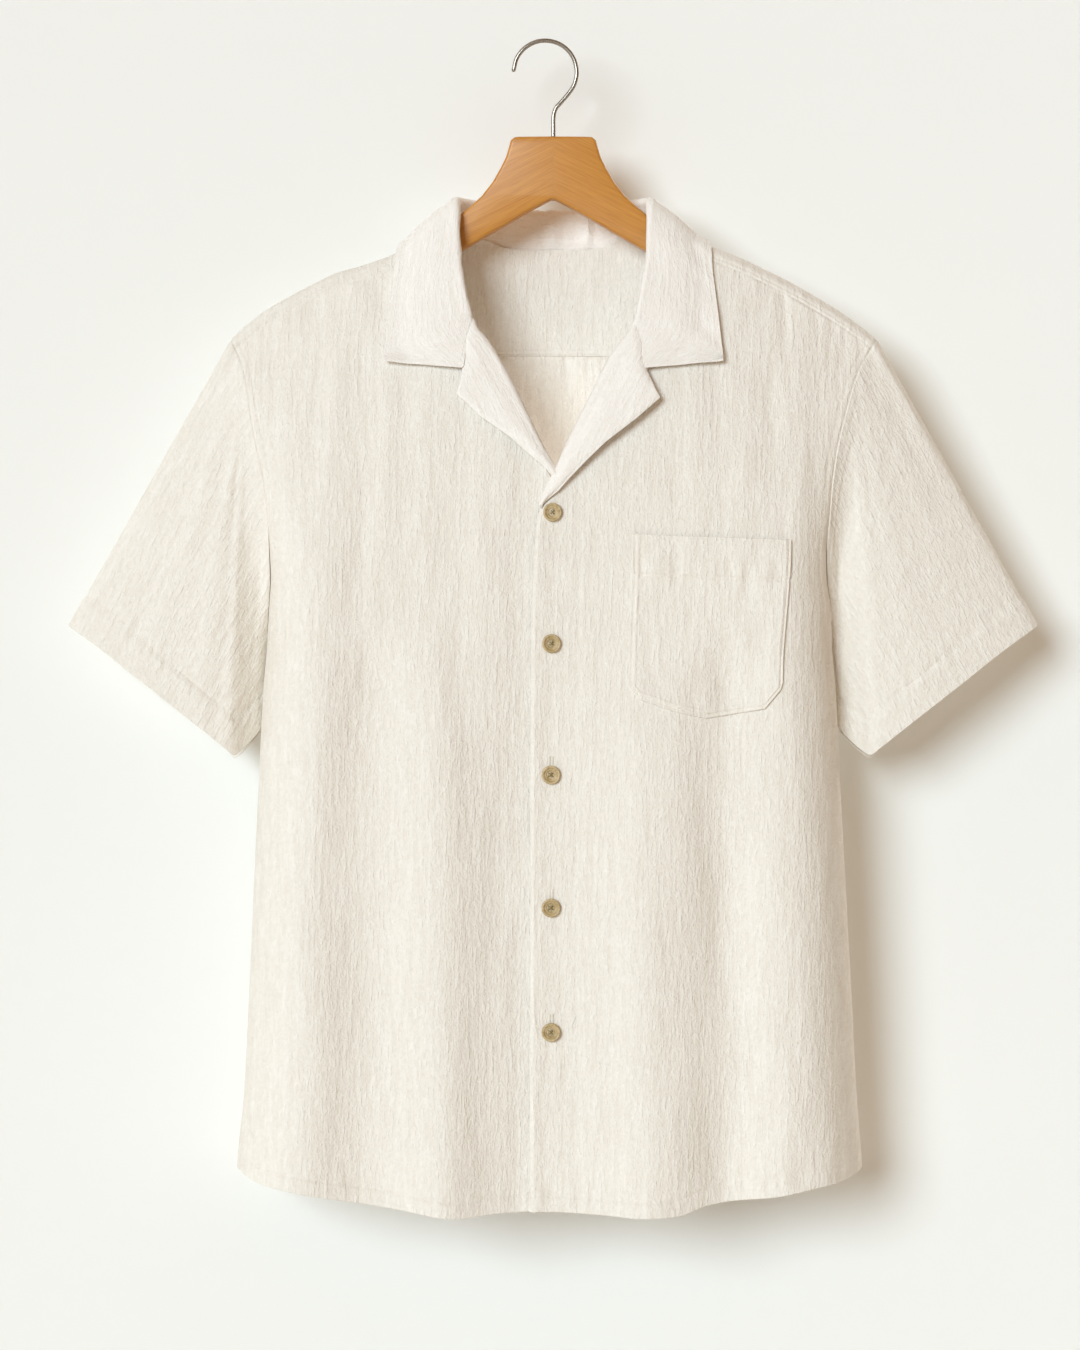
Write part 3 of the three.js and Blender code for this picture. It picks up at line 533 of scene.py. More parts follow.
def armholeStitch(grid, normal, level, column):  # from the top seam to the underarm
    last = int(np.argmax(level[column] > body["underarm"]))
    addStitches(grid[column, 2:last], normal[column, 2:last])


def lengthsOf(grid, column=0):  # across at one column, along each row, and back from each row's end
    along = lengthAlong(grid, 1)
    return lengthAlong(grid, 0)[:, [column]] + 0 * along, along, along[:, -1:] - along


def pinSides(normal, level, edges):  # side seams and armholes stay in line, and the top seam level
    for k, sign in edges:
        normal[k, level[k] > body["underarm"]] = (sign, 0, 0)
        normal[k, level[k] <= body["underarm"], 0] = 0
    normal[:, 0, 2] = 0


# Fronts
fronts = {"columns": 142, "rows": 252, "span": 0.97, "cut": (0.28, 0.74), "area": 0.172, "hemFold": 11,
          "armStitch": 5, "placket": 32, "placketTop": 322, "rise": 1.9, "riseWidth": 15, "turn": 1.1,
          "turnWidth": 2.6, "rumple": 0.4, "seed": {"left": 11, "right": 31}}


def columnLevels(xAt, topAt, shares):
    top = topAt(xAt(200.0))
    low = np.full_like(top, 850.0)
    for i in settling:
        top = topAt(xAt(top))
        low = read(hem, "x", "level", xAt(low))
    return blend(top[:, None], low[:, None], shares[None, :])


def hemRelief(fromEnd, u):  # the turned hem is thicker, puckered, and drawn in at its stitches
    turned = smooth((fronts["hemFold"] + 1.2 - fromEnd) / 1.6)
    groove = np.exp(-((fromEnd - fronts["hemFold"]) / 1.1) ** 2)
    pucker = softNoise(u / 4.2, fromEnd / 30, 71) * np.exp(-((fromEnd - fronts["hemFold"]) / 7) ** 2)
    return 0.55 * turned - 0.9 * groove + 0.8 * pucker


def gathers(fromSeam, u, seed):  # small puckers that hang from a seam
    drift = softNoise(u / 15, fromSeam / 40, seed + 9)
    return (softNoise(u / 5.2 + drift, fromSeam / 60, seed) * 0.9 * np.exp(-fromSeam / 26)
            + softNoise(u / 9 + drift, fromSeam / 90, seed + 1) * 0.8 * np.exp(-fromSeam / 50))


def makeFront(side):
    share = np.sin(packed(fronts["columns"], 160, 5) * np.pi / 2 * fronts["span"])
    share = share / math.sin(np.pi / 2 * fronts["span"])
    xAt = lambda level: blend(frontEdgeAt(side, level), sideAt(side, level),
                              share if np.ndim(level) < 2 else share[:, None])
    top = lambda x: crestAt(x) + body["yokeSeamDrop"] + body["seam"] / 2
    level = columnLevels(xAt, top, packed(fronts["rows"], 690, 6, 14))
    x = xAt(level)
    lap = body["frontLap"] * smooth((x + 32) / 18) if side == "left" else 0
    grid = onFront(x, level, -lap)
    v, fromEnd = lengthsOf(grid)[1:]
    seed = fronts["seed"][side]
    edgeDistance = np.abs(x - frontEdgeAt(side, level))
    sideDistance = np.abs(x - sideAt(side, level))
    calm = smooth(sideDistance / 7) * blend(0.35, 1, smooth((edgeDistance - 3) / 8))
    relief = crinkle(x, level, seed) * calm * smooth(fromEnd / 6) * smooth(v / 5)
    relief = relief + gathers(v, x, seed + 40) * smooth(v / 2.5) * smooth(sideDistance / 6)
    relief = relief + hemRelief(fromEnd, x) + seamDip(v)
    if side == "right":  # the facing stiffens the buttoned edge, which stands off a little
        buttoned = smooth((level - fronts["placketTop"]) / 26)
        inside = fronts["placket"] - edgeDistance
        relief = relief + (0.15 * smooth(inside / 2) + seamDip(inside, 0.5, 1.3)) * buttoned
        rise = fronts["rise"] * (1 - smooth(edgeDistance / fronts["riseWidth"]))
        turn = fronts["turn"] * (1 - smooth(edgeDistance / fronts["turnWidth"]))
        relief = relief + (rise - turn) * buttoned
        rumple = softNoise(x / 16, level / 4.5 + softNoise(x / 9, level / 20, 45), 44)
        within = smooth((fronts["placket"] + 4 - edgeDistance) / 8)
        relief = relief + fronts["rumple"] * rumple * buttoned * within * smooth((edgeDistance - 2) / 5)
    armTop = level < body["underarm"]
    stitched = seamDip(sideDistance - fronts["armStitch"], 0.3, 1.2)
    relief = relief + (seamDip(sideDistance, 0.6) + stitched) * armTop
    grid[..., 1] -= relief
    flip = side == "right"
    normal = normalsOf(grid, flip)
    item = clothPiece("front_cloth_" + side, grid, body["wall"], bodyCloth, flip=flip, free="21",
                      pin=lambda n: pinSides(n, level, [(-1, signOf[side])]), grain=(x + seed * 20, level))
    finishCloth(item, "front_" + side)
    hemRow = nearest(fromEnd[0], fronts["hemFold"])
    addStitches(grid[:, hemRow], normal[:, hemRow])
    armholeStitch(grid, normal, level, nearest(sideDistance[:, 60], fronts["armStitch"]))


makeFront("left")
makeFront("right")
print("fronts made")

# Yoke and back
yoke = {"wing": 74, "neckFront": 8, "neckBack": 42, "rows": 64, "stitch": 3.4, "turnings": 0.9,
        "cut": (0.48, 0.17), "area": 0.052}
back = {"columns": 196, "rows": 200, "span": 0.93, "cut": (0.47, 0.62), "area": 0.277}


def backSeam(x):
    return 227 + 18 * ((x - centre) / 230) ** 2


def yokeColumns(side):  # x and way of each column's start, and the x of its end on the back seam
    sign = signOf[side]
    share = np.sin(np.linspace(1, 0, yoke["wing"]) * np.pi / 2)
    level = np.full_like(share, 200.0)
    xAt = lambda at: blend(frontEdgeAt(side, at), sideAt(side, at), share)
    for i in settling:
        level = crestAt(xAt(level)) + body["yokeSeamDrop"] - body["seam"] / 2
    x = xAt(level)
    way = wayAt(x, level, "front")
    low = 240.0
    for i in settling:
        low = backSeam(sideAt(side, low))
    backOut = abs(float(sideAt(side, low)) - centre)
    out = np.abs(x - centre)
    wing = (out - out[-1]) / (out[0] - out[-1])
    wingEnd = centre + sign * blend(out[-1] + 18, backOut, wing)
    seat = np.concatenate([np.linspace(0.62, 0.5, yoke["neckFront"] + 2)[1:],
                           np.linspace(0.5, 0, yoke["neckBack"] + 1)[1:]])
    start, startWay = neckline(seat, side)
    frontEnd = blend(80, out[-1] + 18, np.clip((seat - 0.5) / 0.12, 0, 1))
    end = centre + sign * np.where(seat > 0.5, frontEnd, 160 * seat)
    fullShare = np.concatenate([wing, np.zeros(len(seat))])
    return np.stack([np.concatenate([x, start[:, 0]]), np.concatenate([way, startWay]),
                     np.concatenate([wingEnd, end]), fullShare], 1)


def makeYoke():
    left, right = yokeColumns("left"), yokeColumns("right")
    columns = np.concatenate([left, right[-2::-1]])
    onLeft = np.arange(len(columns)) < len(left)
    startX, way, endX, share = columns.T
    endWay = wayAt(endX, backSeam(endX) - body["seam"] / 2, "back")
    t = packed(yoke["rows"], 110, 5, 6)
    ways = blend(way[:, None], endWay[:, None], t[None, :])
    x = blend(startX[:, None], endX[:, None], t[None, :])
    for side, k in (("left", 0), ("right", -1)):  # the armholes bow out from the straight line
        edge = x[k].copy()
        for i in settling:
            edge = sideAt(side, -onYoke(edge, ways[k])[:, 2])
        bowed = np.interp(ways, ways[k], edge - x[k])
        mine = onLeft if side == "left" else ~onLeft
        x = x + np.where(mine[:, None], bowed * share[:, None] ** 3, 0)
    grid = onYoke(x, ways)
    normal = normalsOf(grid, False)
    u, v, fromEnd = lengthsOf(grid, 40)
    edges = np.minimum(u, u[-1:] - u)
    calm = smooth(edges / 6) * smooth(fromEnd / 5) * smooth(v / 5)
    frontSeam = (way < -bendWay + 1)[:, None]
    relief = crinkle(u, v, 51, 0.8) * calm + seamDip(fromEnd) + seamDip(fromEnd - yoke["stitch"], 0.4)
    relief = relief + (seamDip(v) + seamDip(v - yoke["stitch"], 0.4)) * frontSeam
    relief = relief + seamDip(edges, 0.6) + seamDip(edges - fronts["armStitch"], 0.3)
    thick = body["wall"] + yoke["turnings"] * np.exp(-fromEnd / 7)  # the seam's turnings lie under the yoke
    grid = grid + normal * relief[..., None]

    def pin(n):
        n[[0, -1], :, 0] = 0
        n[:, -1, 2] = 0
        n[way < -bendWay, 0, 2] = 0
    item = clothPiece("yoke_cloth", grid, thick, bodyCloth, pin=pin, grain=(x + 1700, ways))
    finishCloth(item, "yoke")
    seamRow = nearest(fromEnd[120], yoke["stitch"])
    addStitches(grid[:, seamRow], normal[:, seamRow])
    wing = yoke["wing"]
    frontRow = nearest(v[30], yoke["stitch"])
    for part in (slice(0, wing), slice(len(columns) - wing, len(columns))):
        addStitches(grid[part, frontRow], normal[part, frontRow])


def makeBack():
    across = np.sin(np.linspace(-1, 1, back["columns"]) * np.pi / 2 * back["span"])
    across = across / math.sin(np.pi / 2 * back["span"])

    def xAt(level):
        share = across if np.ndim(level) < 2 else across[:, None]
        left, right = sideAt("left", level), sideAt("right", level)
        return centre + np.where(share < 0, (centre - left) * share, (right - centre) * share)
    level = columnLevels(xAt, lambda x: backSeam(x) + body["seam"] / 2, packed(back["rows"], 620, 7, 14))
    x = xAt(level)
    grid = onBack(x, level)
    v, fromEnd = lengthsOf(grid)[1:]
    edge = np.minimum(np.abs(x - sideAt("left", level)), np.abs(x - sideAt("right", level)))
    relief = crinkle(x, level, 61) * smooth(edge / 7) * smooth(fromEnd / 6) * smooth(v / 5)
    relief = relief + 1.4 * gathers(v, x, 64) * smooth(v / 2.5) * smooth(edge / 6) + hemRelief(fromEnd, x)
    armSeam = seamDip(edge, 0.6) + seamDip(edge - fronts["armStitch"], 0.3)
    relief = relief + seamDip(v) + armSeam * (level < body["underarm"])
    grid[..., 1] += relief
    normal = normalsOf(grid, False)
    item = clothPiece("back_cloth", grid, body["wall"], bodyCloth, free="1", grain=(x + 2300, level),
                      pin=lambda n: pinSides(n, level, [(0, -1), (-1, 1)]))
    finishCloth(item, "back")
    hemRow = nearest(fromEnd[100], fronts["hemFold"])
    addStitches(grid[:, hemRow], normal[:, hemRow])
    outer = 60  # columns near each side
    for first in (0, back["columns"] - outer):
        column = first + nearest(edge[first:first + outer, 60], fronts["armStitch"])
        armholeStitch(grid, normal, level, column)


makeYoke()
makeBack()
print("yoke and back made")

# Sleeves: the hem all round from the crown by the front to the underarm and by the back to the crown;
# "arm" is where the same thread starts on the armhole, and "swell" how far it stands proud halfway.
sleeveHem = table("arm out y level swell",
    [0, 355.5, -1, 428.3, 0], [0.025, 350, -8, 432, 0.5], [0.055, 330, -15, 446, 1.5],
    [0.085, 305, -20, 465.5, 2.5], [0.115, 280, -23, 485, 3.5], [0.145, 256, -23, 504, 4.2],
    [0.18, 240, -21.8, 517, 3.6], [0.24, 233.5, -20, 522.5, 1.5], [0.38, 228.8, -17, 520, -1.5],
    [0.56, 222.5, -12.4, 513.9, -4], [0.78, 216.6, -7, 507, -4.5], [0.9, 214.5, -3.4, 503, -2.5],
    [1, 213.5, 0, 500.5, 0], [0.9, 214.2, 8, 503, 0], [0.78, 215.8, 13, 507, -0.5],
    [0.56, 223.4, 16.5, 515.5, 1], [0.38, 230.5, 18.5, 522.5, 2.6], [0.24, 236, 20, 525.5, 5],
    [0.18, 242, 22, 519.5, 5], [0.145, 257.5, 23, 506.5, 4], [0.115, 281, 21, 487.5, 3],
    [0.085, 306, 17, 467.5, 2], [0.055, 331, 12, 447, 1], [0.025, 350.5, 5.5, 432.5, 0])
sleeves = {"round": 236, "rows": 96, "cut": (0.44, 0.25), "area": 0.062, "hemFold": 25, "inner": 213,
           "underarm": 12, "close": 1.2, "closeWidth": 1.3, "hollowPlace": 9, "hollowWidth": 1.7,
           "hollow": {"left": 4, "right": 8.5}, "creased": {"left": 0.55, "right": 0.28},
           "streak": {"left": 0.7, "right": 0.2}, "seed": {"left": 81, "right": 91}}
# Creases of a sleeve, by the place round its hem: where, width, height, from and to along the sleeve
sleeveCreases = {
    "left": table("place width height start end",
        [1.6, 0.35, 1.0, 0.1, 0.9], [2.4, 0.35, -1.2, 0.15, 1.1], [3.2, 0.3, 1.1, 0.1, 1.2],
        [4.0, 0.3, -1.2, 0.1, 1.2], [4.8, 0.3, 1.3, 0.12, 1.2], [5.5, 0.3, -1.4, 0.1, 1.2],
        [17.5, 0.5, -1.4, 0.1, 1.2], [18.6, 0.4, 1.4, 0.1, 1.2], [19.7, 0.4, -1.2, 0.1, 1.2],
        [20.8, 0.4, 1.2, 0.1, 1.0]),
    "right": table("place width height start end",
        [1.8, 0.35, -0.9, 0.1, 0.8], [2.7, 0.35, 1.0, 0.1, 0.9], [3.5, 0.3, -1.0, 0.1, 0.8],
        [4.3, 0.35, 1.0, 0.1, 1.0], [5.1, 0.3, -1.3, 0.1, 0.9], [17.4, 0.5, -1.4, 0.1, 1.2],
        [18.5, 0.4, 1.4, 0.1, 1.2], [19.6, 0.4, -1.2, 0.1, 1.2], [20.9, 0.4, 1.2, 0.1, 1.0])}


def roundLoop(values, place):
    n = len(values)
    k = np.floor(place).astype(int)
    t = place - k
    return through(*(values[(k + i) % n] for i in (-1, 0, 1, 2)), t)


def armhole(side, face, share):
    tip = read(crest, "out", side, abs(float(sideAt(side, 217)) - centre))
    level = blend(tip, body["underarm"], share)
    x = sideAt(side, level)
    p = onFront(x, level) if face == "front" else onBack(x, level)
    p[..., 0] += signOf[side] * 2 * body["seam"]
    return p


def makeSleeve(side):
    sign = signOf[side]
    lean = abs(float(sideAt(side, 500)) - centre) - sleeves["inner"]
    around = lambda column, at: roundLoop(sleeveHem[column], at)
    hemAt = lambda at: point(centre + sign * (around("out", at) + lean * around("arm", at)),
                             around("y", at), around("level", at))
    turn = len(sleeveHem["out"])
    fine = np.linspace(0, turn, 100 * turn + 1)[:-1]
    loopLength = lengthAlong(np.concatenate([hemAt(fine), hemAt(fine[:1])]), 0)
    place = np.interp(np.linspace(0, loopLength[-1], sleeves["round"] + 1)[:-1], loopLength,
                      np.append(fine, turn))
    arm = np.clip(around("arm", place), 0, 1)
    before = (place <= sleeves["underarm"])[:, None]
    start = np.where(before, armhole(side, "front", arm), armhole(side, "back", arm))
    end = hemAt(place)
    v = packed(sleeves["rows"], 190, 5)[None, :]
    grid = blend(start[:, None, :], end[:, None, :], v[..., None])
    grid[..., 1] += np.where(before, -1, 1) * around("swell", place)[:, None] * np.sin(v * np.pi)
    place = place[:, None]
    # hollowed beside the body, and closed against its side under the arm
    hollow = np.exp(-((place - sleeves["hollowPlace"]) / sleeves["hollowWidth"]) ** 2)
    grid[..., 1] += sleeves["hollow"][side] * hollow * smooth(v / 0.4)
    fromUnderarm = place - sleeves["underarm"]
    grid[..., 0] -= sign * sleeves["close"] * np.exp(-(fromUnderarm / sleeves["closeWidth"]) ** 2)
    flip = side == "left"
    normal = normalsOf(grid, flip, loop=True)
    u, length, fromEnd = lengthsOf(grid, -1)
    seed = sleeves["seed"][side]
    relief = 0
    for k, (middle, width, size, a, b) in enumerate(zip(*sleeveCreases[side].values())):
        drift = 0.14 * np.sin(v * 7 + k * 1.9)
        fade = smooth((v - a) / 0.2) * smooth((b - v) / 0.25)
        crease = np.exp(-((place - middle - drift) / (1.25 * width)) ** 2)
        relief = relief + sleeves["creased"][side] * size * fade * crease
    loopEnds = smooth(u / 12) * smooth((u.max() - u) / 12)
    if side == "right":  # crumpled across as well as along
        slanting = length / 9 + softNoise(u / 18, length / 30, 7)
        relief = relief + 0.35 * softNoise(u / 30, slanting, 95) * loopEnds
    # the warp runs straight down the sleeve, so the wrinkles do too
    out, level = sign * (grid[..., 0] - centre), -grid[..., 2]
    across, along = 0.88 * out - 0.47 * level, 0.47 * out + 0.88 * level
    relief = relief + crinkle(across, along, seed, 0.9, sleeves["streak"][side]) * loopEnds
    relief = relief * smooth(length / 6) * smooth(fromEnd / 5) + seamDip(length, 0.6, 1.3)
    # the turned hem is thicker, drawn in at its stitches, and puckered
    relief = relief + 0.9 * smooth((sleeves["hemFold"] + 1 - fromEnd) / 2) * smooth(length / 12)
    relief = relief + seamDip(fromEnd - sleeves["hemFold"], 1.0, 1.5)
    puckered = np.exp(-((fromEnd - sleeves["hemFold"]) / 8) ** 2)
    relief = relief + 0.7 * softNoise(u / 4, fromEnd / 20, seed + 8) * puckered * loopEnds
    away = smooth((np.abs(fromUnderarm) - 0.6) / 1.5)  # the underarm stays smooth beside the body's side
    grid = grid + normal * (relief * away)[..., None]

    def pin(n):
        n[:, 0, 0] = 0
    closed = [np.concatenate([part, part[:1]]) + seed * 20 for part in (across, along)]
    item = clothPiece("sleeve_cloth_" + side, grid, body["wall"], sleeveCloth[side], flip=flip, loop=True,
                      free="1", pin=pin, grain=closed)
    finishCloth(item, "sleeve_" + side)
    full = length[:, -1] >= sleeves["hemFold"] + 12
    addStitches(*edgeStitch(grid[full], normal[full], sleeves["hemFold"], fromEnd[full]))


makeSleeve("left")
makeSleeve("right")
print("sleeves made")

# Collar: its turn (roll), its outer edge and the width of the turn, by the seat along the neckline
collar = {"columns": 105, "cut": (0.5, 0.085), "area": 0.0345, "stand": 9, "turn": 11, "fall": 34,
          "puff": 1.6, "lift": 2.4, "pressed": 0.9, "stitch": 5, "notch": (65.2, -44, 243.2)}
collarSections = table("seat out y level edgeOut edgeY edgeLevel bend",
    [0, 0, 42, 118.6, 0, 50, 163, 4], [0.17, 36, 38, 116.2, 50, 47, 163, 4],
    [0.34, 58, 25, 112.4, 86, 36, 161, 4], [0.48, 68.4, 3, 114.6, 114.5, 5, 148.5, 4],
    [0.54, 68.2, -7, 119.5, 115.4, -8, 154, 4], [0.6, 68, -14, 132, 116, -18, 168, 3.7],
    [0.74, 66.9, -23, 162, 118.8, -27, 195, 3.3], [0.83, 64, -29, 180, 121, -33, 217, 3.1],
    [0.92, 60, -34, 198, 122.4, -37, 230, 3], [1, 57.3, -36, 212, 122.8, -39, 237.6, 3])
lapels = {"turn": 11, "fall": 28, "bend": 2.6, "puff": 1.2, "rows": 92, "cut": (0.075, 0.13),
    "area": 0.0046, "seed": {"left": 111, "right": 121}, "grainFrom": {"left": 300, "right": 400},
    "right": table("out level edgeOut edgeLevel lift",
        [59, 207, 69, 240, 2.2], [56.6, 214.4, 66.6, 247, 3.4], [49.5, 224, 71.5, 255.7, 6],
        [41, 235.6, 76.9, 264.5, 8], [28.9, 260.7, 59.3, 280, 9], [16.9, 284.8, 37.2, 297.1, 8.6],
        [8.5, 302, 24.3, 309.5, 7.2], [1.8, 318, 11.3, 323, 5.4], [-3.5, 327.5, 3.2, 332.3, 3.8],
        [-6.6, 335.5, -4.2, 338.2, 2.6], [-8.8, 341, -8.2, 342.2, 1.8], [-9.8, 344, -9.7, 344.5, 1.2]),
    "left": table("out level edgeOut edgeLevel lift",
        [58.4, 206, 68, 238.5, 2.2], [56, 213.6, 65.2, 245.6, 3.6], [48.6, 223, 67, 252.5, 5.6],
        [41, 234.8, 69.9, 261.6, 6.6], [27.3, 261.5, 52, 278.6, 6.4], [15.4, 286.6, 31, 293.4, 5.6],
        [6.5, 304, 17, 306, 4.2], [1.2, 313, 7.2, 314, 3.7], [-2.2, 319.5, 1.6, 320.5, 3],
        [-6, 327, -3.5, 327.5, 2.3])}


def clearOfBody(p, lift):  # moves points out until they are at least "lift" clear of the body's cloth
    p = p.copy()
    for i in range(4):
        x, y, level = p[..., 0], p[..., 1], -p[..., 2]
        off = lambda at: np.where(y < 0, standOff(x, at, "front"), standOff(x, at, "back"))
        reach = np.abs(y) - off(level)
        low = crestAt(x)
        high = np.maximum(low, level) + 60
        for k in range(18):
            middle = (low + high) / 2
            outside = off(middle) < np.abs(y)
            low, high = np.where(outside, middle, low), np.where(outside, high, middle)
        rise = low - level
        slant = np.maximum(np.hypot(reach, rise), 1e-6)
        gap = np.sign(rise) * np.abs(reach * rise) / slant
        move = np.maximum(lift - gap, 0)
        p[..., 1] += np.where(y < 0, -1, 1) * np.abs(rise) / slant * move
        p[..., 2] += np.abs(reach) / slant * move
    return p


# A collar or lapel: from "start", if it has a stand, round its turn and down to its edge. Where "notched"
# is 1 the fall runs through the notch, and it is held clear of the cloth below it by "hold".
def turnedCloth(roll, edge, along, bend, sizes, hold, start=None, notch=None, notched=None):
    out = edge - roll
    out = unit(out - (out * along).sum(-1, keepdims=True) * along)
    over = unit(np.cross(along, out))
    bend = np.asarray(bend, float).reshape(-1, 1, 1) * np.ones((len(roll), 1, 1))
    middle = roll[:, None] + out[:, None] * bend
    angle = np.radians(np.linspace(-90, 90, sizes["turn"]))[None, :, None]
    arc = middle - out[:, None] * bend * np.cos(angle) + over[:, None] * bend * np.sin(angle)
    parts = [arc]
    if start is not None:
        t = np.linspace(0, 1, sizes["stand"], endpoint=False)[None, :, None]
        parts.insert(0, blend(start[:, None], arc[:, :1], t))
    t = np.linspace(0, 1, sizes["fall"] + 1)[None, 1:, None]
    line = blend(arc[:, -1:], edge[:, None], t)
    if notch is not None:
        corner = notch[:, None] + over[:, None] * bend * 0.6
        bent = np.where(t < 0.34, blend(arc[:, -1:], corner, t / 0.34),
                        blend(corner, edge[:, None], (t - 0.34) / 0.66))
        line = blend(line, bent, notched[:, None, None])
    line = line + over[:, None] * sizes["puff"] * np.sin(np.pi * np.minimum(t * 1.15, 1)) ** 1.5
    return np.concatenate(parts + [clearOfBody(line, hold)], 1)


def makeCollar():
    halves = []
    seat = np.linspace(0, 1, collar["columns"]) ** 0.92
    value = lambda column, at=seat: read(collarSections, "seat", column, at)
    for side, sign in signOf.items():
        rollAt = lambda at: point(centre + sign * value("out", at), value("y", at), value("level", at))
        edge = point(centre + sign * value("edgeOut"), value("edgeY"), value("edgeLevel"))
        along = unit(rollAt(np.minimum(seat + 0.02, 1)) - rollAt(np.maximum(seat - 0.02, 0))) * sign
        along[0] = (1, 0, 0)
        start = neckline(seat, side)[0]
        start[:, 2] += 0.2 + 1.5 * smooth((seat - 0.38) / 0.14) - 1.8 * smooth((seat - 0.58) / 0.1)
        start[:, 1] -= 1.7 * smooth((seat - 0.48) / 0.1)
        lifted = np.linspace(0, 1, collar["fall"] + 1)[None, 1:] ** 2 * smooth((seat[:, None] - 0.6) / 0.25)
        hold = body["layered"] + 1.2 + 1.5 * smooth((seat[:, None] - 0.84) / 0.1) + collar["lift"] * lifted
        out, y, level = collar["notch"]
        notch = np.broadcast_to(point(centre + sign * out, y, level), start.shape)
        halves.append(turnedCloth(rollAt(seat), edge, along, value("bend"), collar, hold, start, notch,
                                  smooth((seat - 0.9) / 0.1) ** 2))
    grid = np.concatenate([halves[0][::-1], halves[1][1:]])
    normal = normalsOf(grid, False)
    u, v, fromEnd = lengthsOf(grid, 30)
    ends = np.minimum(u, u[-1:] - u)
    relief = crinkle(u, v, 101, 0.55) * smooth(fromEnd / 4) * smooth(ends / 4) * smooth(v / 4)
    relief = relief + 0.35 * softNoise(u / 16, v / 40, 104) * smooth(ends / 9) * smooth(v / 8)
    # the stand is puckered behind the neck, most of all under its turn
    behind = np.exp(-((u - u[-1:] / 2) / 46) ** 2) * smooth(v / 7) * smooth((46 - v) / 10)
    narrow = softNoise(u / 5.4 + 0.4 * softNoise(v / 12, u / 30, 107), v / 60, 105)
    wide = softNoise(u / 9.5, v / 70, 106)
    relief = relief - 0.9 * np.exp(-(v / 1.6) ** 2) + behind * (2.0 * narrow + 1.4 * wide)
    grid = grid + normal * relief[..., None]
    thick = body["layered"] - collar["pressed"] * (1 - smooth(np.minimum(ends, fromEnd) / 3))
    item = clothPiece("collar_cloth", grid, thick, collarCloth, free="123", grain=(v, u))
    finishCloth(item, "collar")
    addStitches(*edgeStitch(grid, normal, collar["stitch"], lengthsOf(grid)[2]))
    for k in (2, -3):
        addStitches(grid[k, 24:-3], normal[k, 24:-3])


def makeLapel(side):
    rows = lapels[side]
    sign = signOf[side]
    t = np.linspace(0, 1, lapels["rows"])
    steps = np.concatenate([[0], np.cumsum(np.hypot(np.diff(rows["edgeOut"]), np.diff(rows["edgeLevel"])))])
    rows = dict(rows, at=steps / steps[-1])
    value = lambda column: read(rows, "at", column, t)
    # edges run straight from point to point at the tip, so the corner stays crisp
    straight = lambda column: np.interp(t, rows["at"], rows[column])
    roll = onFront(centre + sign * value("out"), value("level"), 1.5)
    edge = onFront(centre + sign * straight("edgeOut"), straight("edgeLevel"), value("lift"))
    along = unit(np.gradient(roll, axis=0)) * sign
    # the turn lies flatter towards its foot, and where its head is tucked under the collar
    bend = lapels["bend"] * (1 - 0.75 * smooth((t - 0.62) / 0.36)) * (1 - 0.5 * smooth((0.08 - t) / 0.08))
    grid = turnedCloth(roll, edge, along, bend, lapels, body["layered"] + body["onPanel"])
    flip = side == "right"
    normal = normalsOf(grid, flip)
    u, v, fromEnd = lengthsOf(grid, 25)
    edges = np.minimum(np.minimum(u, u[-1:] - u), fromEnd)
    relief = crinkle(v, u, lapels["seed"][side], 0.6) + 0.3 * softNoise(u / 14, v / 14, 125)
    grid = grid + normal * (relief * smooth(edges / 4))[..., None]
    thick = body["layered"] - collar["pressed"] * (1 - smooth(edges / 3))
    item = clothPiece("lapel_cloth_" + side, grid, thick, collarCloth, flip=flip, free="123",
                      grain=(v + lapels["grainFrom"][side], u))
    finishCloth(item, "facing_" + side)
    line, lineNormal = edgeStitch(grid, normal, collar["stitch"], lengthsOf(grid)[2])
    addStitches(line[3:-18], lineNormal[3:-18])


makeCollar()
makeLapel("left")
makeLapel("right")
print("collar and lapels made")

# Patch pocket
pocket = {"left": 63, "leftLow": 59.8, "right": 176.8, "rightLow": 170.5, "top": 363.6, "topSlope": 0.035,
          "wide": 113, "tall": 125, "columns": 116, "rows": 128, "mouth": 28.5, "stitchInset": 2.2,
          "turning": 6, "cut": (0.12, 0.17), "area": 0.0155,
          "bottom": table("share level", [0, 471], [0.07, 481.9], [0.3, 490.7], [0.5, 495.6],
                          [0.885, 488.6], [0.985, 475.4], [1, 470])}


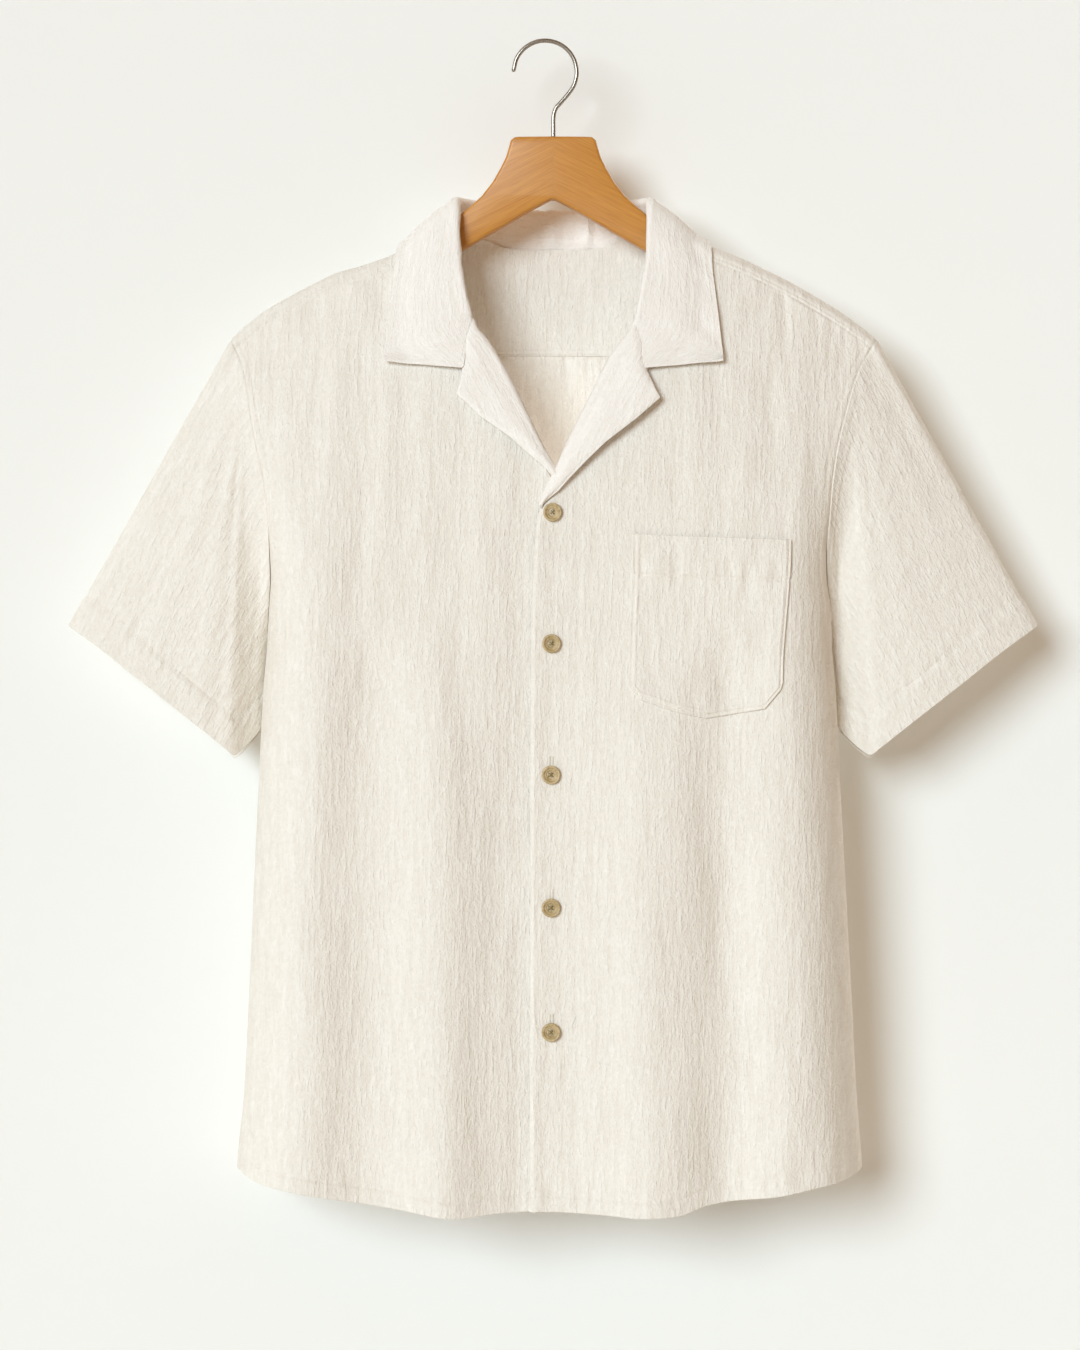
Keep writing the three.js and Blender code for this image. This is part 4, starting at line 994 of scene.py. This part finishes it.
def makePocket():
    share = packed(pocket["columns"], pocket["wide"], 5, 5)[:, None]
    down = packed(pocket["rows"], pocket["tall"], 0, 6)[None, :]
    low = np.interp(share, pocket["bottom"]["share"], pocket["bottom"]["level"])
    left = blend(pocket["left"], pocket["leftLow"], smooth(down))
    right = blend(pocket["right"], pocket["rightLow"], smooth(down))
    x = blend(left, right, share)
    top = pocket["top"] + pocket["topSlope"] * (x - pocket["left"])
    level = blend(top, low, down)
    sewn = np.minimum(np.minimum(share, 1 - share) * pocket["wide"], (1 - down) * pocket["tall"])
    grid = onFront(x, level, body["onPanel"] + body["wall"] * 0.8 + 0.3 - 0.8 * (1 - smooth(sewn / 5)))
    normal = normalsOf(grid, True)
    u, v, end = lengthsOf(grid, 30)
    side = np.minimum(u, u[-1:] - u)
    edge = np.minimum(side, end)
    turned = smooth((pocket["turning"] - edge) / 1.4)
    relief = crinkle(x, level, 31, 0.9) * smooth(edge / 5) * smooth(v / 4)
    relief = relief + 0.4 * softNoise(u / 12, v / 40, 134) * smooth(edge / 12)
    relief = relief + 0.45 * turned + seamDip(edge - pocket["stitchInset"], 0.55, 0.9)
    relief = relief + 0.5 * smooth((pocket["mouth"] + 1 - v) / 1.6)
    relief = relief + seamDip(v - pocket["mouth"], 1.0, 1.2)
    ripple = 1.5 * softNoise(u / 6.5, v / 40, 136) * np.exp(-((v - pocket["mouth"] + 6) / 13) ** 2)
    relief = relief + ripple * smooth(side / 8)
    relief = relief + 0.6 * np.exp(-v / 3) * softNoise(u / 16, v / 99, 138)
    grid = grid + normal * relief[..., None]
    thick = body["wall"] * 0.8 + 0.3 * turned
    item = clothPiece("pocket_cloth", grid, thick, bodyCloth, flip=True, free="0123",
                      grain=(x + 2900, level))
    finishCloth(item, "pocket")
    # sewn down one side, along the bottom and up the other side, and across under the mouth
    i = nearest(u[:60, 0], pocket["stitchInset"])
    bottom = nearest(end[60], pocket["stitchInset"])
    last = pocket["columns"] - 1 - i
    route = [(i, k) for k in range(bottom)] + [(k, bottom) for k in range(i, last + 1)]
    route += [(last, k) for k in range(bottom, -1, -1)]
    addStitches([grid[r] for r in route], [normal[r] for r in route])
    row = nearest(v[30], pocket["mouth"])
    addStitches(grid[i:-i, row], normal[i:-i, row])


makePocket()
print("pocket made")


# Stitches run along every seam and hem: short threads that lie on the cloth, one for each stitch
stitching = {"Pitch": 0.0030, "Thread": 0.00034, "Length": 0.0023}


def plainCopy(item, name):  # the item's own mesh, with what its modifiers do to it
    mesh = bpy.data.meshes.new_from_object(item.evaluated_get(bpy.context.evaluated_depsgraph_get()))
    bpy.data.objects.remove(item)
    return addObject(name, mesh)


def sewStitches():
    curve = bpy.data.curves.new("stitch lines", "CURVE")
    curve.dimensions = "3D"
    for line in stitchLines:
        spline = curve.splines.new("POLY")
        spline.points.add(len(line) - 1)
        flat = np.concatenate([np.asarray(line) / 1000, np.ones((len(line), 1))], 1)
        spline.points.foreach_set("co", flat.ravel().astype(np.float32))
    item = addObject("stitches", curve)
    tree = bpy.data.node_groups.new("row of stitches", "GeometryNodeTree")
    newSocket = tree.interface.new_socket
    newSocket("Geometry", in_out="INPUT", socket_type="NodeSocketGeometry")
    inputs = {name: newSocket(name, in_out="INPUT", socket_type="NodeSocketFloat").identifier
              for name in stitching}
    newSocket("Geometry", in_out="OUTPUT", socket_type="NodeSocketGeometry")
    entry = tree.nodes.new("NodeGroupInput")
    resampled = addNode(tree, "GeometryNodeResampleCurve",
                        [(entry.outputs["Geometry"], "Curve"), (entry.outputs["Pitch"], "Length")],
                        {"mode": "LENGTH"})
    ball = addNode(tree, "GeometryNodeMeshUVSphere", Segments=6, Rings=4, Radius=0.5)
    axes = (("Length", "X"), ("Thread", "Y"), ("Thread", "Z"))
    size = addNode(tree, "ShaderNodeCombineXYZ", [(entry.outputs[name], key) for name, key in axes])
    points = addNode(tree, "GeometryNodeCurveToPoints", [(resampled.outputs["Curve"], "Curve")],
                     {"mode": "EVALUATED"})
    aligned = addNode(tree, "FunctionNodeAlignEulerToVector", [(points.outputs["Tangent"], "Vector")],
                      {"axis": "X"})
    placed = addNode(tree, "GeometryNodeInstanceOnPoints",
                     [(points.outputs["Points"], "Points"), (ball.outputs["Mesh"], "Instance"),
                      (aligned.outputs["Rotation"], "Rotation"), (size.outputs["Vector"], "Scale")])
    real = addNode(tree, "GeometryNodeRealizeInstances", [(placed.outputs["Instances"], "Geometry")])
    dyed = addNode(tree, "GeometryNodeSetMaterial", [(real.outputs["Geometry"], "Geometry")],
                   Material=threadMaterial)
    addNode(tree, "NodeGroupOutput", [(dyed.outputs["Geometry"], "Geometry")])
    modifier = item.modifiers.new("row of stitches", "NODES")
    modifier.node_group = tree
    for name, value in stitching.items():
        modifier[inputs[name]] = value
    sewn = plainCopy(item, "stitches")
    sewn.data.name = "stitches"
    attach(sewn, "root")
    print("stitches", len(stitchLines), "lines,", len(sewn.data.polygons), "faces")


# Buttons: turned discs with a raised rim, a ringed recess and four holes sewn through
buttons = {"radius": 6.8, "wall": 1.3, "lift": 0.55, "holeAt": 1.25, "holeRadius": 0.75, "holeDepth": 1.1,
           "middleRings": 16, "outerRings": 18, "spokes": 84, "thread": 0.32,
           "places": [(5.2, 347.6), (4.5, 442.1), (4.1, 536.5), (4.1, 632), (4.1, 721.4)]}
buttonFace = table("r z", [0, 1.25], [2.4, 1.25], [2.75, 0.95], [3.05, 0.95], [3.4, 1.5], [3.75, 1.75],
                   [4.1, 1.55], [4.5, 1.95], [5.2, 2.65], [5.8, 2.95], [6.3, 2.85], [6.65, 2.4], [6.8, 1.8])


def ringQuads(n, m):  # for n rings of m points: the points' numbers, and the faces between the rings
    index = np.arange(n * m).reshape(n, m)
    after = np.roll(index, -1, 1)
    quads = np.stack([index[:-1].ravel(), after[:-1].ravel(), after[1:].ravel(), index[1:].ravel()], 1)
    return index.tolist(), quads.tolist()


def solidFrom(name, verts, faces, material):
    mesh = bpy.data.meshes.new(name)
    mesh.from_pydata((verts / 1000).tolist(), [], faces)
    mesh.polygons.foreach_set("use_smooth", np.ones(len(faces), bool))
    mesh.validate()
    mesh.materials.append(material)
    return addObject(name, mesh)


def makeButtons(hornMaterial):
    radius = buttons["radius"]
    r = np.concatenate([np.linspace(0.02, 2.4, buttons["middleRings"]),
                        np.linspace(2.5, radius, buttons["outerRings"])])
    angle = np.linspace(0, 2 * np.pi, buttons["spokes"], endpoint=False)
    rr, aa = np.meshgrid(r, angle, indexing="ij")
    face = np.interp(rr, buttonFace["r"], buttonFace["z"])
    for sx, sz in ((1, 1), (1, -1), (-1, 1), (-1, -1)):
        away = np.hypot(rr * np.cos(aa) - sx * buttons["holeAt"], rr * np.sin(aa) - sz * buttons["holeAt"])
        face = face - buttons["holeDepth"] * smooth((buttons["holeRadius"] + 0.2 - away) / 0.3)
    under = [(radius, buttons["wall"]), (6.2, 0.5), (4.6, 0.0), (0.02, 0.0)]
    rings = list(zip(r, face)) + [(a, np.full_like(angle, z)) for a, z in under]
    local = np.stack([np.stack([a * np.cos(angle), -z, a * np.sin(angle)], -1) for a, z in rings])
    index, faces = ringQuads(*local.shape[:2])
    first, last, top = index[0], index[-1], local.shape[0] * local.shape[1]
    faces += [(top, b, a) for a, b in zip(first, first[1:] + first[:1])]
    faces += [(top + 1, a, b) for a, b in zip(last, last[1:] + last[:1])]
    reach = 6  # the button leans as the cloth does this far to each side
    for k, (x, level) in enumerate(buttons["places"], 1):
        spot = onFront(x, level, buttons["lift"])
        slopeX = (onFront(x + reach, level)[1] - onFront(x - reach, level)[1]) / (2 * reach)
        slopeZ = (onFront(x, level - reach)[1] - onFront(x, level + reach)[1]) / (2 * reach)
        verts = local.copy()
        verts[..., 1] += verts[..., 0] * slopeX + verts[..., 2] * slopeZ
        verts = verts + spot
        flat = np.concatenate([verts.reshape(-1, 3), verts[:1].mean(1), verts[-1:].mean(1)])
        item = solidFrom(f"horn_button_{k}", flat, faces, hornMaterial)
        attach(item, "root")
        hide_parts(f"button_{k}")
        sewOn(k, spot, slopeX, slopeZ)


def roundTube(path, radius, sides):  # verts and faces of a tube with rounded, closed ends
    path = np.asarray(path, float)
    tangent = unit(np.gradient(path, axis=0))
    guide = np.array([0.0, 1.0, 0.0])
    if abs(tangent[0] @ guide) > 0.9:
        guide = np.array([1.0, 0.0, 0.0])
    normal = unit(np.cross(tangent, guide))
    side = unit(np.cross(normal, tangent))
    angle = np.linspace(0, 2 * np.pi, sides, endpoint=False)
    cap = lambda k, sign, a: (path[k] + sign * tangent[k] * radius * math.sqrt(1 - a * a), k, radius * a)
    rounding = (0.12, 0.5, 0.87)
    rows = [cap(0, -1, a) for a in rounding] + [(path[k], k, radius) for k in range(len(path))]
    rows += [cap(-1, 1, a) for a in rounding[::-1]]
    verts = np.stack([p + normal[k] * (r * np.cos(angle))[:, None] + side[k] * (r * np.sin(angle))[:, None]
                      for p, k, r in rows])
    index, faces = ringQuads(*verts.shape[:2])
    return verts.reshape(-1, 3), faces + [index[0][::-1], index[-1]]


def tubesObject(name, tubes, material):
    verts, faces, start = [], [], 0
    for v, f in tubes:
        verts.append(v)
        faces += [[i + start for i in face] for face in f]
        start += len(v)
    return solidFrom(name, np.concatenate(verts), faces, material)


def sewOn(k, spot, slopeX, slopeZ):  # two threads that cross between the holes
    tubes = []
    h = buttons["holeAt"]
    for a, b, over in (((-h, -h), (h, h), 0), ((-h, h), (h, -h), 0.25)):
        t = np.linspace(0, 1, 9)
        x, z = blend(a[0], b[0], t), blend(a[1], b[1], t)
        y = -(0.75 + 0.95 * np.sin(np.pi * t) ** 0.5 + over) + x * slopeX + z * slopeZ
        tubes.append(roundTube(np.stack([x, y, z], 1) + spot, buttons["thread"], 8))
    item = tubesObject(f"button_thread_{k}", tubes, buttonThread)
    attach(item, "root")


# Horn-like urea buttons, tumble-polished: tan with a darker, faintly marbled middle and a satin gloss
hornMaterial, tree, shader = newMaterial("tumbled horn-look button", Roughness=0.38, IOR=1.55)
marble = noise(tree, objectPlace(tree), 260, 3, Distortion=1.4)
scuffs = noise(tree, objectPlace(tree), 1500, 2)
connect(tree, shader, Base_Color=toneRamp(tree, marble, "#A38A58", "#D0BA92", (0.3, 0.72)),
        Normal=bump(tree, scuffs, 0.2, 0.0001))

# Waxed button thread, tan like the buttons
buttonThread = threadOf("waxed button thread", "#74643C", "#9C8755", 2200, 0.6)

makeButtons(hornMaterial)

# Buttonholes: two rows of close satin stitches beside a slit, upright above each button
buttonholes = {"length": 17, "below": 4, "gap": 0.55, "width": 1.1, "pitch": 0.62, "lift": 0.55,
               "outerLift": 0.5, "thread": 0.27}


def makeButtonholes():
    tubes = []
    for x, level in buttons["places"]:
        for side in (-1, 1):
            for k in range(int(buttonholes["length"] / buttonholes["pitch"])):
                at = level - buttonholes["length"] + buttonholes["below"] + k * buttonholes["pitch"]
                outer = buttonholes["gap"] + buttonholes["width"]
                a = onFront(x + side * buttonholes["gap"], at, buttonholes["lift"])
                b = onFront(x + side * outer, at, buttonholes["outerLift"])
                middle = (a + b) / 2 + np.array([0, -0.16, 0])
                tubes.append(roundTube([a, middle, b], buttonholes["thread"], 6))
    item = tubesObject("buttonholes", tubes, threadMaterial)
    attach(item, "root")


makeButtonholes()
sewStitches()
print("buttons, buttonholes and stitches made")

# Hanger: two arms of solid wood joined at the middle
hanger = {"thickness": 12, "bevel": 2.4, "reach": 222, "below": 1.5,
          "neck": table("out level", [28.5, 69.9], [31.3, 72.2], [32.6, 77], [34.8, 84.5], [39, 93],
                        [44.4, 102.5], [52.5, 113], [61, 120.9], [68, 126.6], [73.5, 133], [79, 141.5],
                        [88, 145])}


def hangerOutline():
    neck, reach = hanger["neck"], hanger["reach"]
    fine = np.linspace(0, len(neck["out"]) - 1, 45)
    spots = np.arange(len(neck["out"]))
    outline = []
    for side in ("right", "left"):
        top = lambda out: float(read(crest, "out", side, out)) + body["wall"] + hanger["below"]
        half = [(3.0, 69.4), (20, 69.5), (25.5, 69.6)]
        half += list(zip(np.interp(fine, spots, neck["out"]), np.interp(fine, spots, neck["level"])))
        half += [(out, top(out)) for out in (100, 108, 116, 127, 138, 149, 160, 170, 180, 190, 200, 206,
                                             212, 219)]
        half += [(reach - back, top(reach) + down)
                 for back, down in ((1, 1.5), (0, 5), (0, 14), (1.5, 18), (5, 20.5))]
        half += [(out, top(out) + down) for out, down in ((200, 24.5), (180, 25.5), (160, 26))]
        half += [(138, 190), (116, 179.5), (92, 166.5), (67, 153), (45, 140.3), (22, 126.8), (6, 118),
                 (1.5, 115.8)]
        half = [(centre + signOf[side] * out, -level) for out, level in half]
        outline = outline + half if side == "right" else outline + half[::-1]
    return outline


def makeHanger(material):
    bm = bmesh.new()
    half = hanger["thickness"] / 2000
    ring = [bm.verts.new((x / 1000, -half, z / 1000)) for x, z in hangerOutline()]
    face = bm.faces.new(ring)
    made = bmesh.ops.extrude_face_region(bm, geom=[face])
    for v in [g for g in made["geom"] if isinstance(g, bmesh.types.BMVert)]:
        v.co.y = half
    bmesh.ops.recalc_face_normals(bm, faces=bm.faces)
    mesh = bpy.data.meshes.new("hanger")
    bm.to_mesh(mesh)
    bm.free()
    mesh.materials.append(material)
    item = addObject("hanger", mesh)
    softened = item.modifiers.new("softened edges", "BEVEL")
    softened.width, softened.segments, softened.limit_method = hanger["bevel"] / 1000, 4, "ANGLE"
    softened.angle_limit = math.radians(60)
    item = plainCopy(item, "wooden_hanger")
    item.data.polygons.foreach_set("use_smooth", np.ones(len(item.data.polygons), bool))
    item.data.set_sharp_from_angle(angle=math.radians(35))
    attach(item, "root")
    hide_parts("hanger")


# Lotus wood with a clear satin lacquer: honey brown, straight close grain along each arm, so the
# grain meets in a shallow V at the joint, which shows as a slightly darker line.
woodMaterial, tree, shader = newMaterial("lacquered lotus wood", Roughness=0.42, Coat_Weight=0.25,
                                         Coat_Roughness=0.3)
split = addNode(tree, "ShaderNodeSeparateXYZ", [(objectPlace(tree), "Vector")])
fromJoint = maths(tree, "SUBTRACT", (split.outputs["X"], 0), _1=centre / 1000)
alongArm = maths(tree, "ABSOLUTE", (fromJoint, 0))
# the arms fall by 0.5 mm for each millimetre outwards, and the grain falls with them
fallen = maths(tree, "MULTIPLY_ADD", (alongArm, 0), (split.outputs["Z"], 2), _1=0.5)
# each arm is a board of its own, so its grain is shifted from the other's
handed = maths(tree, "SIGN", (fromJoint, 0))
shifted = maths(tree, "MULTIPLY_ADD", (handed, 0), (split.outputs["Y"], 2), _1=0.037)
grainPlace = addNode(tree, "ShaderNodeCombineXYZ", [(alongArm, "X"), (shifted, "Y"), (fallen, "Z")])
stretched = lambda scale: addNode(tree, "ShaderNodeMapping", [(grainPlace.outputs["Vector"], "Vector")],
                                  Scale=scale).outputs["Vector"]
rings = noise(tree, stretched((9, 90, 330)), 1, 3, Roughness=0.55, Distortion=0.6)
pores = noise(tree, stretched((60, 900, 1500)), 1, 2)
woodTone = toneRamp(tree, rings, "#C5832F", "#D2933F", (0.28, 0.74))
poreDark = toneRamp(tree, pores, "#D9C8B4", "#FFFFFF", (0.35, 0.6))
poreTone = mixed(tree, [(woodTone, 6), (poreDark, 7)], "MULTIPLY", _0=0.5)
jointLine = maths(tree, "LESS_THAN", (alongArm, 0), _1=0.0003)
connect(tree, shader, Base_Color=mixed(tree, [(jointLine, 0), (poreTone, 6)], _7=linear("#C08540")),
        Normal=bump(tree, pores, 0.12, 0.0002))
makeHanger(woodMaterial)
print("hanger made")

# Hook: nickel-plated steel wire, drawn and bent
hook = {"wire": 1.6, "bend": 23.2,
        "stem": [(12.2, -43.2), (8.4, -47.4), (6.6, -51.5), (6, -56), (6, -62), (6, -69.0)]}
steelMaterial, tree, shader = newMaterial("nickel-plated steel wire", Base_Color=linear("#A39C92"),
                                          Metallic=1.0)
drawn = noise(tree, objectPlace(tree), 700, 2)
drawnRough = addNode(tree, "ShaderNodeMapRange", [(drawn, "Value")], To_Min=0.2, To_Max=0.36)
connect(tree, shader, Roughness=drawnRough.outputs["Result"])


def smoothPath(points, count):
    p = np.asarray(points, float)
    p = np.concatenate([2 * p[:1] - p[1:2], p, 2 * p[-1:] - p[-2:-1]])
    t = np.linspace(0, len(points) - 1 - 1e-6, count)
    k = t.astype(int)
    return through(p[k], p[k + 1], p[k + 2], p[k + 3], (t - k)[:, None])


def makeHook():
    middle = hook["wire"] - hook["bend"]
    bow = [(hook["bend"] * math.cos(math.radians(a)), 0, middle + hook["bend"] * math.sin(math.radians(a)))
           for a in (176, 155, 133, 111, 90, 68, 46, 24, 0, -22, -40)]
    path = smoothPath(bow + [(x, 0, z) for x, z in hook["stem"]], 150)
    item = tubesObject("wire_hook", [roundTube(path, hook["wire"], 20)], steelMaterial)
    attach(item, "root")
    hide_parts("hook")


makeHook()
print("hook made")

# Setting: a pale wall close behind, seen only from its front, and a pale floor well below
setting = {"wallY": 0.064, "wide": 6.0, "wallTop": 4, "floorZ": -2.4, "paint": "#F1F0EB",
           "ambient": 0.345, "ambientColour": "#FFD4A8", "spread": 26}
wallMaterial, tree, shader = newMaterial("matt painted wall", Base_Color=linear(setting["paint"]),
                                         Roughness=0.95, Specular_IOR_Level=0.0)
clearShader = addNode(tree, "ShaderNodeBsdfTransparent")
facing = addNode(tree, "ShaderNodeNewGeometry")
ray = addNode(tree, "ShaderNodeLightPath")
seenThrough = maths(tree, "MAXIMUM", (facing.outputs["Backfacing"], 0), (ray.outputs["Is Shadow Ray"], 1))
oneSided = addNode(tree, "ShaderNodeMixShader", [(seenThrough, 0), (shader.outputs["BSDF"], 1),
                                                 (clearShader.outputs["BSDF"], 2)])
output = [n for n in tree.nodes if n.type == "OUTPUT_MATERIAL"][0]
connect(tree, output, Surface=oneSided.outputs["Shader"])
floorMaterial = newMaterial("matt painted floor", Base_Color=linear(setting["paint"]), Roughness=0.9)[0]


def plane(name, corners, material):
    mesh = bpy.data.meshes.new(name)
    mesh.from_pydata(corners, [], [tuple(range(len(corners)))])
    mesh.materials.append(material)
    item = addObject(name, mesh)


wide, y, z, high = setting["wide"], setting["wallY"], setting["floorZ"], setting["wallTop"]
plane("wall", [(-wide, y, z), (wide, y, z), (wide, y, high), (-wide, y, high)], wallMaterial)
plane("floor", [(-wide, -wide, z), (wide, -wide, z), (wide, wide, z), (-wide, wide, z)], floorMaterial)

world = bpy.data.worlds.new("studio")
scene.world = world
world.use_nodes = True
tree = world.node_tree
tree.nodes.clear()
seen = addNode(tree, "ShaderNodeBackground", Color=linear(setting["paint"]), Strength=1.0)
ambient = addNode(tree, "ShaderNodeBackground", Color=linear(setting["ambientColour"]),
                  Strength=setting["ambient"])
ray = addNode(tree, "ShaderNodeLightPath")
either = addNode(tree, "ShaderNodeMixShader", [(ray.outputs["Is Camera Ray"], 0), (ambient.outputs[0], 1),
                                               (seen.outputs[0], 2)])
addNode(tree, "ShaderNodeOutputWorld", [(either.outputs[0], "Surface")])
windows = {"window": {"from": (-0.5, -1, 0.25), "strength": 2.6, "colour": "#E1F3FF"},
           "side window": {"from": (-1.6, -1, 0.5), "strength": 0.1, "colour": "#F6FAFF"},
           "rear window": {"from": (0.6, 1, 0.5), "strength": 1.0, "colour": "#FFFEFA"}}


def windowLight(name):
    window = windows[name]
    light = bpy.data.lights.new(name, "SUN")
    light.energy, light.angle = window["strength"], math.radians(setting["spread"])
    light.color = linear(window["colour"])[:3]
    addObject(name, light).rotation_euler = Vector(window["from"]).to_track_quat("Z", "Y").to_euler()


windowLight("window")
windowLight("side window")
# light that the thin cloth of the fronts lets through, which keeps the inside of the neck bright
glow = {"size": 0.24, "power": 0.13, "colour": "#FBF8F4", "place": (centre / 1000, -0.025, -0.375)}
light = bpy.data.lights.new("light through the fronts", "AREA")
light.shape, light.size, light.size_y = "RECTANGLE", glow["size"], glow["size"]
light.energy, light.color = glow["power"], linear(glow["colour"])[:3]
lamp = addObject("light through the fronts", light)
lamp.location, lamp.rotation_euler = glow["place"], (math.radians(90), 0, 0)
lamp.visible_camera = False
windowLight("rear window")
print("stage and lights set")
